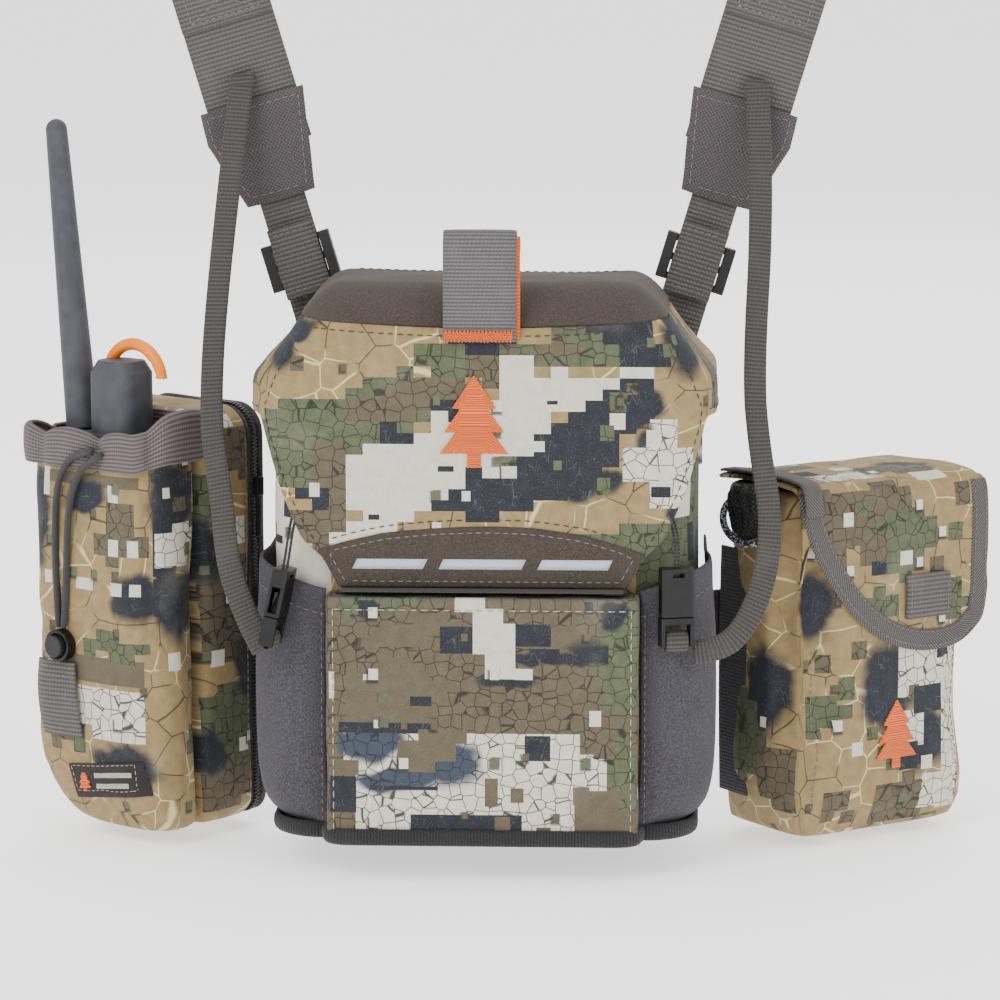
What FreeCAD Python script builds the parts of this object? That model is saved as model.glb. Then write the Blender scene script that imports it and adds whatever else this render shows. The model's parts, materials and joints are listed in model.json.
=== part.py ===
import FreeCAD, Part
import math
import os

# Binocular harness pack: a chest pack with a forward-opening hood, two shoulder
# straps, a radio pouch on its left and a flapped pouch on its right.
# Millimetres, +Z up, -Y faces away from the wearer. The origin is at the middle
# of the back panel's rear face, the face that rests on the wearer's chest.

V = FreeCAD.Vector

# ---- driving dimensions ----
SHELL_HALF = 88.0        # half width of the padded binocular compartment
SHELL_FRONT = -88.0
SHELL_BACK = -8.0
SHELL_WALL = 5.0
SHELL_BOTTOM = -107.0
SHOULDER_Z = 62.0        # height where the compartment starts to taper
RIM_Z = 96.0             # rim of the binocular compartment
RIM_HALF = 72.0
LINER = 1.2
BASE_THICK = 3.5
BINDING = 1.4
SIDE_HALF = 95.0         # half width over the side pockets
SIDE_SKIN = 2.0
POCKET_HALF = 64.5       # half width of the front pocket
POCKET_FRONT = -104.0
POCKET_TOP = -7.5
POCKET_WALL = 2.4
HOOD_HALF = 96.0
HOOD_FRONT = -96.0
HOOD_BACK = -14.0
HOOD_WALL = 3.0
HOOD_WIDEST_Z = 82.0
HOOD_EDGE_Z = 106.0      # front edge of the hood's top panel
HOOD_TOP_Z = 119.0
HOOD_WING_Z = 66.0       # lower edge of the hood's side wings
HOOD_FOOT_Z = -4.5       # bottom edge of the hood's front
# right half of the hood's front outline, from its foot up; the sides flare out to full width
HOOD_SIDE = [(60, HOOD_FOOT_Z), (67, 8.8), (73.5, 14), (84, 37), (HOOD_HALF + 2, 80),
             (HOOD_HALF + 2, HOOD_TOP_Z + 2)]
TAB_WIDTH = 30.0         # pull tab webbing
TAB_X = -1.0
STRAP_WIDE = 40.0        # shoulder webbing
STRAP_NARROW = 20.0      # adjuster webbing
STRAP_THIN = 10.0        # tether webbing
WEB = 1.6                # thickness of the narrow webbing
STRAP_LEAN = 16.7        # outward lean of the shoulder straps, degrees
STRAP_FOOT_X = 79.0
STRAP_FOOT_Z = 104.0
STRAP_SHIFT = 2.5        # the straps hang this far to the right of the middle
STRAP_END = 152.0        # distance along the strap to its top end
POUCH_YAW = 36.0         # both side pouches turn outward by this angle
RADIO_W, RADIO_D = 70.0, 74.0
RADIO_BOTTOM, RADIO_TOP = -122.0, 48.0
RADIO_CORNER = (-97.5, -3.0)   # inner rear corner of the radio pouch
RANGE_W, RANGE_D = 90.0, 58.0
RANGE_BOTTOM, RANGE_TOP = -126.0, 29.0
RANGE_CORNER = (97.5, -3.0)    # inner rear corner of the flapped pouch
BUCKLE_W, BUCKLE_T = 14.0, 7.0
TETHER_THICK = 1.5
BUNGEE = 3.0
THIN_CORD = 1.1
REFLECTIVE_CORD = 3.2
MAGNET_R, MAGNET_T = 7.5, 2.0
RING_WIRE, RING_DROP = 2.2, 24.0

# ---- routes of the free cords, chosen by hand ----
TETHER_LEFT = [(-105.6, -14.2, 198.6), (-112.0, -36.7, 136.6), (-116.2, -62.0, 64.0),
               (-109.4, -75.0, 29.0), (-106.4, -84.0, 3.0), (-98.5, -91.4, -17.0),
               (-90.5, -96.4, -31.0)]
TETHER_RIGHT = [(112.0, -14.6, 196.6), (114.8, -31.0, 152.0), (110.8, -57.0, 79.0),
                (113.4, -67.0, 51.0), (118.6, -77.0, 23.0), (116.6, -85.0, 0.0),
                (109.0, -92.0, -19.0), (98.6, -96.0, -29.6), (86.6, -96.6, -30.4)]
THIN_LEFT = [(-81.1, -97.6, 3.6), (-79.8, -95.4, 12.0), (-79.0, -91.0, 20.0), (-76.4, -88.9, 29.0),
             (-76.0, -88.6, 37.0)]
THIN_RIGHT = [(79.6, -98.2, 5.0), (80.0, -96.4, 11.5), (79.0, -91.6, 19.5), (75.8, -89.1, 28.5),
              (75.4, -88.7, 37.0)]
BUNGEE_LEFT = [(-166.5, -48.6, 44.5), (-171.2, -45.7, 43.5), (-178.2, -41.0, 40.0), (-183.5, -37.2, 30.0),
               (-185.4, -34.8, 14.0), (-185.4, -34.5, -12.0), (-184.2, -36.6, -33.4)]
BUNGEE_RIGHT = [(-162.4, -51.5, 43.5), (-166.8, -49.1, 41.0), (-174.3, -44.1, 34.0), (-178.9, -40.2, 18.0),
                (-180.1, -38.4, -4.0), (-180.6, -38.5, -22.0), (-181.8, -38.4, -33.6)]
LOOP_CORD = [(120.1, -43.4, 13.0), (119.2, -47.8, 10.5), (114.2, -46.5, 7.5), (109.4, -40.1, 5.0),
             (104.1, -32.8, 5.5), (99.5, -26.9, 10.0), (98.8, -24.3, 16.5), (102.0, -23.7, 22.0),
             (107.6, -25.4, 23.5)]

os.makedirs("parts", exist_ok=True)
parts = {}


def add(name, shape):
    """Keep one finished sub-part and report anything that is not a clean solid."""
    if not shape.isValid() or not shape.Solids:
        print("not a valid solid:", name)
    parts[name] = shape


# ---- helpers ----
def block(x0, x1, y0, y1, z0, z1):
    return Part.makeBox(x1 - x0, y1 - y0, z1 - z0, V(x0, y0, z0))


def group(*shapes):
    return Part.Compound([s for shape in shapes for s in shape.Solids])


def rounded_plan(x0, x1, y0, y1, r_front, r_back, z):
    """Closed wire of a rectangle with its corners rounded, seen from above."""
    corners = [(x0, y0, r_front, 1, 1), (x1, y0, r_front, -1, 1),
               (x1, y1, r_back, -1, -1), (x0, y1, r_back, 1, -1)]
    ends = []
    for x, y, r, sx, sy in corners:
        along_x = V(x + sx * r, y, z)
        along_y = V(x, y + sy * r, z)
        middle = V(x + sx * r * (1 - math.sqrt(0.5)), y + sy * r * (1 - math.sqrt(0.5)), z)
        ends.append((along_x, middle, along_y))
    # each corner is entered on the side where the last straight edge arrives
    order = [(ends[0][2], ends[0][1], ends[0][0]), (ends[1][0], ends[1][1], ends[1][2]),
             (ends[2][2], ends[2][1], ends[2][0]), (ends[3][0], ends[3][1], ends[3][2])]
    edges = []
    for i, (start, middle, end) in enumerate(order):
        edges.append(Part.Arc(start, middle, end).toShape())
        edges.append(Part.LineSegment(end, order[(i + 1) % 4][0]).toShape())
    return Part.Wire(edges)


def loft(wires):
    return Part.makeLoft(wires, True, True)


def prism_xz(points, y0, y1):
    """Polygon in the X-Z plane, carried from y0 to y1."""
    wire = Part.makePolygon([V(x, y0, z) for x, z in points + points[:1]])
    return Part.Face(wire).extrude(V(0, y1 - y0, 0))


def prism_yz(points, x0, x1):
    """Polygon in the Y-Z plane, carried from x0 to x1."""
    wire = Part.makePolygon([V(x0, y, z) for y, z in points + points[:1]])
    return Part.Face(wire).extrude(V(x1 - x0, 0, 0))


def mirrored(points):
    """An outline's right half, closed by its mirror image."""
    return points + [(-x, z) for x, z in reversed(points)]


def disc(centre, axis, radius, thick):
    return Part.makeCylinder(radius, thick, V(*centre), V(*axis))


def route_wire(points, name):
    """Straight runs joined by tangent arcs as large as the runs allow."""
    p = [V(*q) for q in points]
    edges = []
    start = p[0]
    radii = []
    for i in range(1, len(p) - 1):
        before = p[i - 1] - p[i]
        after = p[i + 1] - p[i]
        cut = 0.45 * min(before.Length, after.Length)
        turn = math.pi - before.getAngle(after)
        radius = cut / math.tan(turn / 2)
        radii.append(round(radius, 1))
        before.normalize()
        after.normalize()
        a = p[i] + before * cut
        b = p[i] + after * cut
        half = before + after
        half.normalize()
        middle = p[i] + half * (radius / math.cos(turn / 2) - radius)
        edges.append(Part.LineSegment(start, a).toShape())
        edges.append(Part.Arc(a, middle, b).toShape())
        start = b
    edges.append(Part.LineSegment(start, p[-1]).toShape())
    wire = Part.Wire(edges)
    print(name, "length", round(wire.Length, 1), "radii", radii)
    return wire


def check_volume(name, shape, section, length):
    ratio = shape.Volume / (section * length)
    print(name, "volume over section x length", round(ratio, 4))


def round_cord(points, diameter, name):
    wire = route_wire(points, name)
    first = V(*points[1]) - V(*points[0])
    ring = Part.Wire(Part.makeCircle(diameter / 2, V(*points[0]), first))
    tube = wire.makePipeShell([ring], True, False)
    check_volume(name, tube, math.pi * diameter ** 2 / 4, wire.Length)
    return tube


def flat_cord(points, width, thick, face, name):
    """A flat strap whose flat side keeps facing along the vector face."""
    wire = route_wire(points, name)
    normal = V(*face)
    normal.normalize()
    along = V(*points[1]) - V(*points[0])
    side = along.cross(normal)
    side.normalize()
    up = side.cross(along)
    up.normalize()
    p = V(*points[0])
    corners = [p + side * (a * width / 2) + up * (b * thick / 2)
               for a, b in ((-1, -1), (1, -1), (1, 1), (-1, 1), (-1, -1))]
    sweep = Part.BRepOffsetAPI.MakePipeShell(wire)
    sweep.setBiNormalMode(normal)
    sweep.setTransitionMode(1)
    sweep.add(Part.makePolygon(corners), False, False)
    sweep.build()
    sweep.makeSolid()
    strap = sweep.shape()
    check_volume(name, strap, width * thick, wire.Length)
    return strap


# ---- the padded binocular compartment ----
def compartment(inset, bottom, top=RIM_Z):
    """The compartment's outer form, moved in on every side by inset."""
    def section(half, front, z):
        return rounded_plan(-half + inset, half - inset, front + inset, SHELL_BACK - inset,
                            24 - inset, 12 - inset, z)
    lower = loft([section(SHELL_HALF, SHELL_FRONT, bottom),
                  section(SHELL_HALF, SHELL_FRONT, SHOULDER_Z)])
    upper = loft([section(SHELL_HALF, SHELL_FRONT, SHOULDER_Z),
                  section(RIM_HALF, SHELL_FRONT + 4, top)])
    return lower.fuse(upper).removeSplitter()


def make_compartment():
    outer = compartment(0, SHELL_BOTTOM)
    inner = compartment(SHELL_WALL, SHELL_BOTTOM + SHELL_WALL)
    add("main_shell", outer.cut(inner))
    lining = inner.cut(compartment(SHELL_WALL + LINER, SHELL_BOTTOM + SHELL_WALL + LINER))
    add("fleece_lining", lining)
    return outer


def make_back_panel():
    panel = prism_xz(mirrored([(76, -104), (86, -94), (86, 40), (78, 92), (64, 98)]), -4.6, 0)
    add("back_panel", panel)
    foam = prism_xz(mirrored([(72, -100), (80, -90), (80, 38), (72, 84), (60, 90)]), SHELL_BACK, -4.6)
    add("back_foam", foam)


def make_base():
    def foot(grow, z0, z1):
        body = loft([rounded_plan(-SIDE_HALF - grow, SIDE_HALF + grow, -92.0 - grow, -4.8,
                                  26 + grow, 12, z) for z in (z0, z1)])
        toe = block(-POCKET_HALF - grow, POCKET_HALF + grow, POCKET_FRONT - grow, -80, z0, z1)
        return body.fuse(toe).removeSplitter()
    top = SHELL_BOTTOM
    add("base_panel", foot(0.3, top - BASE_THICK, top))
    ring = foot(0.3 + BINDING, top - BASE_THICK - 0.6, top + 2.2)
    ring = ring.cut(foot(0.3, top - BASE_THICK - 1, top + 3))
    add("base_binding", ring)


def make_side_pockets(shell):
    """Stretch pockets that wrap the front corners, open at their slanted tops."""
    z0 = SHELL_BOTTOM
    outer = loft([rounded_plan(-SIDE_HALF, SIDE_HALF, -92, -6, 26, 12, z) for z in (z0, 20)])
    inner = loft([rounded_plan(-SIDE_HALF + SIDE_SKIN, SIDE_HALF - SIDE_SKIN, -92 + SIDE_SKIN,
                               -6 - SIDE_SKIN, 26 - SIDE_SKIN, 12 - SIDE_SKIN, z)
                  for z in (z0 - 1, 21)])
    skin = outer.cut(inner)
    rear_tie = block(SHELL_HALF - 4, SIDE_HALF, -14, -12, z0, 20)
    front_tie = block(POCKET_HALF, POCKET_HALF + 1.5, -92, -88, z0, 20)
    keep = prism_xz([(POCKET_HALF, z0), (SIDE_HALF + 1, z0), (SIDE_HALF + 1, 5),
                     (POCKET_HALF, -6)], -93, -12)
    right = skin.fuse([rear_tie, front_tie]).common(keep).cut(shell)
    right = max(right.Solids, key=lambda s: s.Volume)
    add("side_pockets", group(right, right.mirror(V(0, 0, 0), V(1, 0, 0))))


def make_front_pocket():
    z0 = SHELL_BOTTOM
    body = block(-POCKET_HALF, POCKET_HALF, POCKET_FRONT, SHELL_FRONT, z0, POCKET_TOP)
    body = body.makeFillet(3, [e for e in body.Edges
                               if abs(e.BoundBox.YMin - POCKET_FRONT) < 0.01 and e.BoundBox.ZLength > 50])
    hollow = block(-POCKET_HALF + POCKET_WALL, POCKET_HALF - POCKET_WALL,
                   POCKET_FRONT + POCKET_WALL, SHELL_FRONT - 1, z0 + POCKET_WALL, POCKET_TOP + 1)
    add("front_pocket", body.cut(hollow))
    tape = block(-62, 62, POCKET_FRONT + 1, SHELL_FRONT, POCKET_TOP, POCKET_TOP + 0.6)
    add("front_pocket_zip", tape)
    z = POCKET_TOP + 0.9
    slider = block(50, 58, -99.5, -93.5, z, z + 1.2)
    pull = block(38, 50.2, -98.3, -94.7, z + 0.3, z + 1.1)
    add("front_zip_slider", slider.fuse(pull))


# ---- hood ----
def hood_form(inset):
    """The hood's outer form as a stack of sections, moved in by inset."""
    def section(half, front, z):
        return rounded_plan(-half + inset, half - inset, front + inset, HOOD_BACK + 1,
                            20 - inset, 4, z)
    foot = section(HOOD_HALF, HOOD_FRONT, HOOD_FOOT_Z)
    widest = section(HOOD_HALF, HOOD_FRONT, HOOD_WIDEST_Z)
    edge = section(76, HOOD_FRONT + 3, HOOD_EDGE_Z - inset)
    top = section(60, -66, HOOD_TOP_Z - inset)
    return loft([foot, widest]).fuse([loft([widest, edge]), loft([edge, top])])


def make_hood():
    shell = hood_form(0).cut(hood_form(HOOD_WALL))
    outline = prism_xz(mirrored(HOOD_SIDE), -110, 0)
    shell = shell.common(outline)
    behind = block(-120, 120, -84, 0, HOOD_FOOT_Z - 5, HOOD_WING_Z)
    rear = block(-120, 120, HOOD_BACK, 0, HOOD_FOOT_Z - 5, 140)
    foot_gap = block(-120, 120, -120, 0, HOOD_FOOT_Z - 20, HOOD_FOOT_Z)
    shell = shell.cut(behind).cut(rear).cut(foot_gap)
    top_side = block(-120, 120, -120, 0, HOOD_EDGE_Z - 1.5, 140)
    add("hood_front", shell.cut(top_side))
    add("hood_top_panel", shell.common(top_side))
    bar = [(-70, 11.5), (-58, 14.5), (-36, 19), (0, 21.8), (36, 19), (58, 14.5), (70, 11.5),
           (60, HOOD_FOOT_Z), (-60, HOOD_FOOT_Z)]
    add("hood_name_bar", prism_xz(bar, HOOD_FRONT - 2.4, HOOD_FRONT))
    strip = block(-58, 58, POCKET_FRONT, HOOD_FRONT + HOOD_WALL, HOOD_FOOT_Z - 0.6, HOOD_FOOT_Z)
    add("hood_hinge_strip", strip)


def make_pull_tab():
    """A loop of webbing that stands up from the hood's front top edge."""
    outside = [(-98.2, 98), (-98.2, 138), (-96.6, 142), (-93, 144), (-89.4, 142), (-87.8, 138),
               (-86.4, 112.2)]
    inside = [(-88.4, 112.4), (-89.8, 137.6), (-91, 140.4), (-93, 141.6), (-95, 140.4),
              (-96.0, 137.6), (-96.0, 98)]
    x0 = TAB_X - TAB_WIDTH / 2
    x1 = TAB_X + TAB_WIDTH / 2
    hood = hood_form(0)
    tab = prism_yz(outside + inside, x0, x1).cut(hood)
    lining = [(-95.9, 98), (-95.9, 137.5), (-94.9, 140.3), (-94.0, 139.6), (-94.9, 137.2), (-94.9, 98)]
    orange = prism_yz(lining, x0 + 2, x1 + 1.2).cut(hood)
    add("pull_tab", max(tab.Solids, key=lambda s: s.Volume))
    add("pull_tab_lining", max(orange.Solids, key=lambda s: s.Volume))


def make_magnets():
    z = (HOOD_WING_Z + HOOD_WIDEST_Z) / 2
    y = -48.0
    hood = [disc((s * (HOOD_HALF - HOOD_WALL), y, z), (-s, 0, 0), MAGNET_R, MAGNET_T) for s in (-1, 1)]
    add("hood_magnets", group(*hood))
    lower = z - 26
    body = [disc((s * SHELL_HALF, y, lower), (s, 0, 0), MAGNET_R, MAGNET_T) for s in (-1, 1)]
    pouch = on_range(disc((56, 3, -22), (0, 1, 0), 8, MAGNET_T))
    add("body_magnets", group(*body, pouch))


# ---- shoulder straps ----
def on_strap(shape, side):
    """Move a shape from strap coordinates (x across, z along) onto one strap."""
    placed = shape.copy()
    placed.rotate(V(0, 0, 0), V(0, 1, 0), side * STRAP_LEAN)
    placed.translate(V(side * STRAP_FOOT_X + STRAP_SHIFT, 0, STRAP_FOOT_Z))
    return placed


def make_webbing(side):
    """One side's wide strap with its end loop, adjuster webbing with its tail, and patch."""
    foot, head = 46.0, 90.0
    half = STRAP_WIDE / 2
    wide = block(-half, half, -8.2, -6.4, 72, STRAP_END)
    narrow = block(-STRAP_NARROW / 2, STRAP_NARROW / 2, -7.0, -7.0 + WEB, -16, 66).cut(wide)
    corners = [(-15 * side, foot), (-23 * side, head - 1), (23 * side, head), (24 * side, head - 14),
               (15 * side, foot + 1)]
    patch = prism_xz(corners, -10.6, -3.8).cut(wide).cut(narrow)
    tail = block(-STRAP_NARROW / 2, STRAP_NARROW / 2, -13.0, -13.0 + WEB, 4, 34)
    loop = block(-half, half, -11.4, -3.2, STRAP_END, STRAP_END + 11)
    eye = Part.makeCylinder(2.6, STRAP_WIDE + 2, V(-half - 1, -7.3, STRAP_END + 5.5), V(1, 0, 0))
    strap = wide.fuse(loop.cut(eye)).removeSplitter()
    return [on_strap(shape, side) for shape in (strap, group(narrow, tail), patch)]


def make_ring(side):
    """Rectangular ring in the strap's end loop, where a rear harness would join."""
    half = STRAP_WIDE / 2 + 4
    low = STRAP_END + 5.5
    ring = Part.makeCylinder(RING_WIRE, 2 * half, V(-half, -7.3, low), V(1, 0, 0))
    for x in (-half, half):
        ring = ring.fuse(Part.makeCylinder(RING_WIRE, RING_DROP, V(x, -7.3, low), V(0, 0, 1)))
        ring = ring.fuse(Part.makeSphere(RING_WIRE, V(x, -7.3, low)))
        ring = ring.fuse(Part.makeSphere(RING_WIRE, V(x, -7.3, low + RING_DROP)))
    ring = ring.fuse(Part.makeCylinder(RING_WIRE, 2 * half, V(-half, -7.3, low + RING_DROP), V(1, 0, 0)))
    return on_strap(ring, side)


def make_slider(side):
    """Three-bar slider whose bars cross in front of the webbing."""
    half = STRAP_NARROW / 2
    foot, head = 8.0, 28.0
    glide = block(-half - 5, -half - 0.6, -11.0, -5.0, foot, head)
    glide = glide.fuse(block(half + 0.6, half + 5, -11.0, -5.0, foot, head))
    for low in (foot, (foot + head) / 2 - 1.5, head - 3):
        glide = glide.fuse(block(-half - 1, half + 1, -10.6, -7.6, low, low + 3))
    return on_strap(glide.removeSplitter(), side)


def make_straps():
    webbing = [make_webbing(side) for side in (-1, 1)]
    for i, name in enumerate(("shoulder_straps", "adjuster_webs", "strap_patches")):
        add(name, group(webbing[0][i], webbing[1][i]))
    add("strap_rings", group(make_ring(-1), make_ring(1)))
    add("left_strap_slider", make_slider(-1))
    add("right_strap_slider", make_slider(1))


# ---- tether buckles ----
def on_buckle(shape, centre, turn, tilt):
    """Buckle coordinates: x across, y through the thickness, z towards the cord."""
    placed = shape.copy()
    placed.rotate(V(0, 0, 0), V(0, 0, 1), turn)
    placed.rotate(V(0, 0, 0), V(0, 1, 0), tilt)
    placed.translate(V(*centre))
    return placed


def make_buckle(label, centre, turn, tilt):
    w = BUCKLE_W / 2
    t = BUCKLE_T / 2
    cup = block(-w, w, -t, t, -3, 17)
    cup = cup.makeFillet(1.6, [e for e in cup.Edges if e.BoundBox.ZLength > 10])
    cup = cup.cut(block(-w + 1.6, w - 1.6, -t + 1.5, t - 1.5, -4, 12))
    for side in (-1, 1):
        cup = cup.cut(block(min(side * w, side * (w - 2)), max(side * w, side * (w - 2)),
                            -t + 1.7, t - 1.7, -1.5, 9.5))
    cup = cup.cut(block(-2.4, 2.4, -t - 1, t + 1, 13.4, 15.2))
    plug = block(-w, w, -t + 0.4, t - 0.4, -6.2, -3.4)
    for side in (-1, 1):
        plug = plug.fuse(block(min(side * w, side * (w - 1.8)), max(side * w, side * (w - 1.8)),
                               -t + 0.4, t - 0.4, -15.5, -3.4))
    plug = plug.fuse(block(-w, w, -1.4, 1.4, -15.5, -12.9))
    plug = plug.fuse(block(-1.3, 1.3, -1.2, 1.2, -3.5, 7.4))
    add(label + "_buckle_cup", on_buckle(cup, centre, turn, tilt))
    add(label + "_buckle_plug", on_buckle(plug, centre, turn, tilt))
    for side, which in ((-1, "inner"), (1, "outer")):
        arm = block(min(side * 3.3, side * 5.0), max(side * 3.3, side * 5.0), -1.2, 1.2, -3.1, 7.4)
        add(label + "_buckle_" + which + "_prong", on_buckle(arm, centre, turn, tilt))


def make_tether_ends(centre, turn, tilt, side, start):
    """The webbing folded round the plug's bar, and where it is sewn at the shoulder."""
    fold = block(-4.8, 4.8, -3.2, 3.2, -17.6, -11.4)
    fold = fold.cut(block(-5, 5, -1.6, 1.6, -15.7, -12.7))
    root = block(-STRAP_THIN / 2, STRAP_THIN / 2, start[1] - 0.8, -8.2, 0, 2.2)
    root.rotate(V(0, 0, 0), V(0, 1, 0), side * 5)
    root.translate(V(start[0], 0, start[2]))
    return [on_buckle(fold, centre, turn, tilt), root]


def make_thin_cords(label, route, apart):
    """Two thin cords from the buckle cup to the binocular, under the hood's edge."""
    cords = []
    for sign in (-1, 1):
        shift = V(*apart) * sign
        points = [tuple(V(*p) + shift) for p in route]
        cords.append(round_cord(points, THIN_CORD, label + "_thin_cords"))
    add(label + "_thin_cords", group(*cords))


def make_tethers():
    ends = []
    straps = []
    for label, side, centre, turn, tilt, route in (
            ("left", -1, (-84.6, -97.6, -13.0), 78, 12, TETHER_LEFT),
            ("right", 1, (79.6, -98.2, -12.0), 15, 0, TETHER_RIGHT)):
        make_buckle(label, centre, turn, tilt)
        ends += make_tether_ends(centre, turn, tilt, side, route[0])
        straps.append(flat_cord(route, STRAP_THIN, TETHER_THICK, (0, -0.942, 0.336), label + " tether"))
    add("tether_ends", group(*ends))
    add("tether_straps", group(*straps))
    make_thin_cords("left", THIN_LEFT, (0.8, 0, 0))
    make_thin_cords("right", THIN_RIGHT, (0.8, 0, 0))


# ---- radio pouch ----
def left_front():
    a = math.radians(POUCH_YAW)
    return (V(RADIO_CORNER[0], RADIO_CORNER[1], 0) - V(math.sin(a), math.cos(a), 0) * RADIO_D
            - V(math.cos(a), -math.sin(a), 0) * RADIO_W)


def right_front():
    a = math.radians(POUCH_YAW)
    return V(RANGE_CORNER[0], RANGE_CORNER[1], 0) - V(-math.sin(a), math.cos(a), 0) * RANGE_D


def on_radio(shape):
    """Radio pouch coordinates: x along its front, y from front to back."""
    placed = shape.copy()
    placed.rotate(V(0, 0, 0), V(0, 0, 1), -POUCH_YAW)
    placed.translate(left_front())
    return placed


def on_range(shape):
    placed = shape.copy()
    placed.rotate(V(0, 0, 0), V(0, 0, 1), POUCH_YAW)
    placed.translate(right_front())
    return placed


def pocket_sections(x0, x1, y0, y1, levels):
    """Loft through (height, left inset, front inset, corner radius) levels."""
    return [rounded_plan(x0 + side, x1, y0 + front, y1, radius, 5, z) for z, side, front, radius in levels]


def make_radio_pouch():
    z0, z1 = RADIO_BOTTOM, RADIO_TOP
    levels = [(z0, 22, 7, 14), (z0 + 14, 8, 2, 14), (z0 + 36, 0, 0, 12), (z1, 0, 0, 12)]
    inner_levels = [(z0 + 4, 20, 8, 10), (z0 + 15, 11, 5, 10), (z0 + 36, 3, 3, 9), (z1 + 1, 3, 3, 9)]
    pocket = loft(pocket_sections(0, 70, 0, 34, levels))
    pocket = pocket.cut(loft(pocket_sections(0, 67, 0, 31, inner_levels)))
    add("radio_pocket", on_radio(pocket))
    band = loft([rounded_plan(-1.4, 71.4, -1.4, 34, 13, 5, z) for z in (36, 52)])
    band = band.cut(loft([rounded_plan(0, 70, 0, 34.5, 12, 5, z) for z in (35, z1)]))
    band = band.cut(loft([rounded_plan(3, 67, 3, 31, 9, 5, z) for z in (z1 - 0.01, 53)]))
    add("radio_pocket_band", on_radio(band))
    case = loft([rounded_plan(1 + side, 69, 34.2, 64, 3, 3, z)
                 for z, side in ((z0, 14), (z0 + 14, 5), (z0 + 36, 0), (57, 0), (60, 4))])
    hollow = loft([rounded_plan(5 + side, 66, 37.2, 65, 2, 2, z)
                   for z, side in ((z0 + 4, 13), (z0 + 14, 7), (z0 + 36, 0), (55, 0))])
    add("radio_case", on_radio(case.cut(hollow)))
    rim = rounded_xz_ring(1.5, 69, z0 + 1, 60, 10, 5)
    add("radio_zip_tape", on_radio(rim(64, 70)))
    plate = rounded_xz_plate(0, 70, z0, 62, 12)
    add("radio_back_panel", on_radio(plate(70, 74)))
    slider = block(69.6, 72.6, 65, 69, 20, 28).fuse(block(70.4, 71.6, 65.6, 68.4, 2, 21))
    add("radio_zip_slider", on_radio(slider))


def rounded_xz_wire(x0, x1, z0, z1, r, y):
    flat = rounded_plan(x0, x1, z0, z1, r, r, 0)
    flat.rotate(V(0, 0, 0), V(1, 0, 0), 90)
    flat.translate(V(0, y, 0))
    return flat


def rounded_xz_plate(x0, x1, z0, z1, r):
    def build(y0, y1):
        return Part.Face(rounded_xz_wire(x0, x1, z0, z1, r, y0)).extrude(V(0, y1 - y0, 0))
    return build


def rounded_xz_ring(x0, x1, z0, z1, r, wall):
    def build(y0, y1):
        outer = rounded_xz_plate(x0, x1, z0, z1, r)(y0, y1)
        inner = rounded_xz_plate(x0 + wall, x1 - wall, z0 + wall, z1 - wall, r - wall)(y0 - 1, y1 + 1)
        return outer.cut(inner)
    return build


def make_radio_fittings():
    tab = block(8, 33, -2.0, -0.3, -80, -43)
    add("radio_pocket_tab", on_radio(tab))
    lock = disc((21, -2.2, -41), (0, -1, 0), 7, 5.2).cut(disc((21, -3.6, -41), (0, -1, 0), 5.1, 5))
    add("cord_lock", on_radio(lock))
    add("cord_lock_button", on_radio(disc((21, -5.9, -41), (0, -1, 0), 4.8, 3.8)))
    label = block(26, 62, -1.0, -0.02, -97, -81)
    label.rotate(V(44, 0, -89), V(0, 1, 0), -8)
    add("radio_pocket_label", on_radio(label))
    strands = [round_cord(route, BUNGEE, "bungee") for route in (BUNGEE_LEFT, BUNGEE_RIGHT)]
    add("bungee_cord", group(*strands))


def make_handheld():
    body = loft([rounded_plan(11, 59, 5.5, 28.5, 6, 6, z) for z in (-92, 50)])
    shoulder = loft([rounded_plan(27, 56, 7, 27, 6, 6, z) for z in (50, 76)])
    crown = loft([rounded_plan(27, 56, 7, 27, 6, 6, 76), rounded_plan(30, 53, 9, 25, 6, 6, 81)])
    shoulder = shoulder.fuse(crown)
    add("handheld_radio", on_radio(body.fuse(shoulder).removeSplitter()))
    base = V(19.5, 17, 50)
    tip = V(6.0, 17, 181)
    along = tip - base
    antenna = Part.makeCone(7.2, 4.6, along.Length - 4, base, along)
    end = base + along * ((along.Length - 4.01) / along.Length)
    antenna = antenna.fuse(Part.makeSphere(4.6, end))
    seat = block(0, 40, 0, 34, 40, 50)
    add("handheld_antenna", on_radio(antenna.cut(seat)))
    grip = Part.makeTorus(15.5, 2.6, V(41.5, 22, 72), V(0, 1, 0))
    grip = grip.common(block(20, 60, 15, 30, 74, 95)).cut(shoulder)
    add("handheld_grip_loop", on_radio(max(grip.Solids, key=lambda s: s.Volume)))


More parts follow.
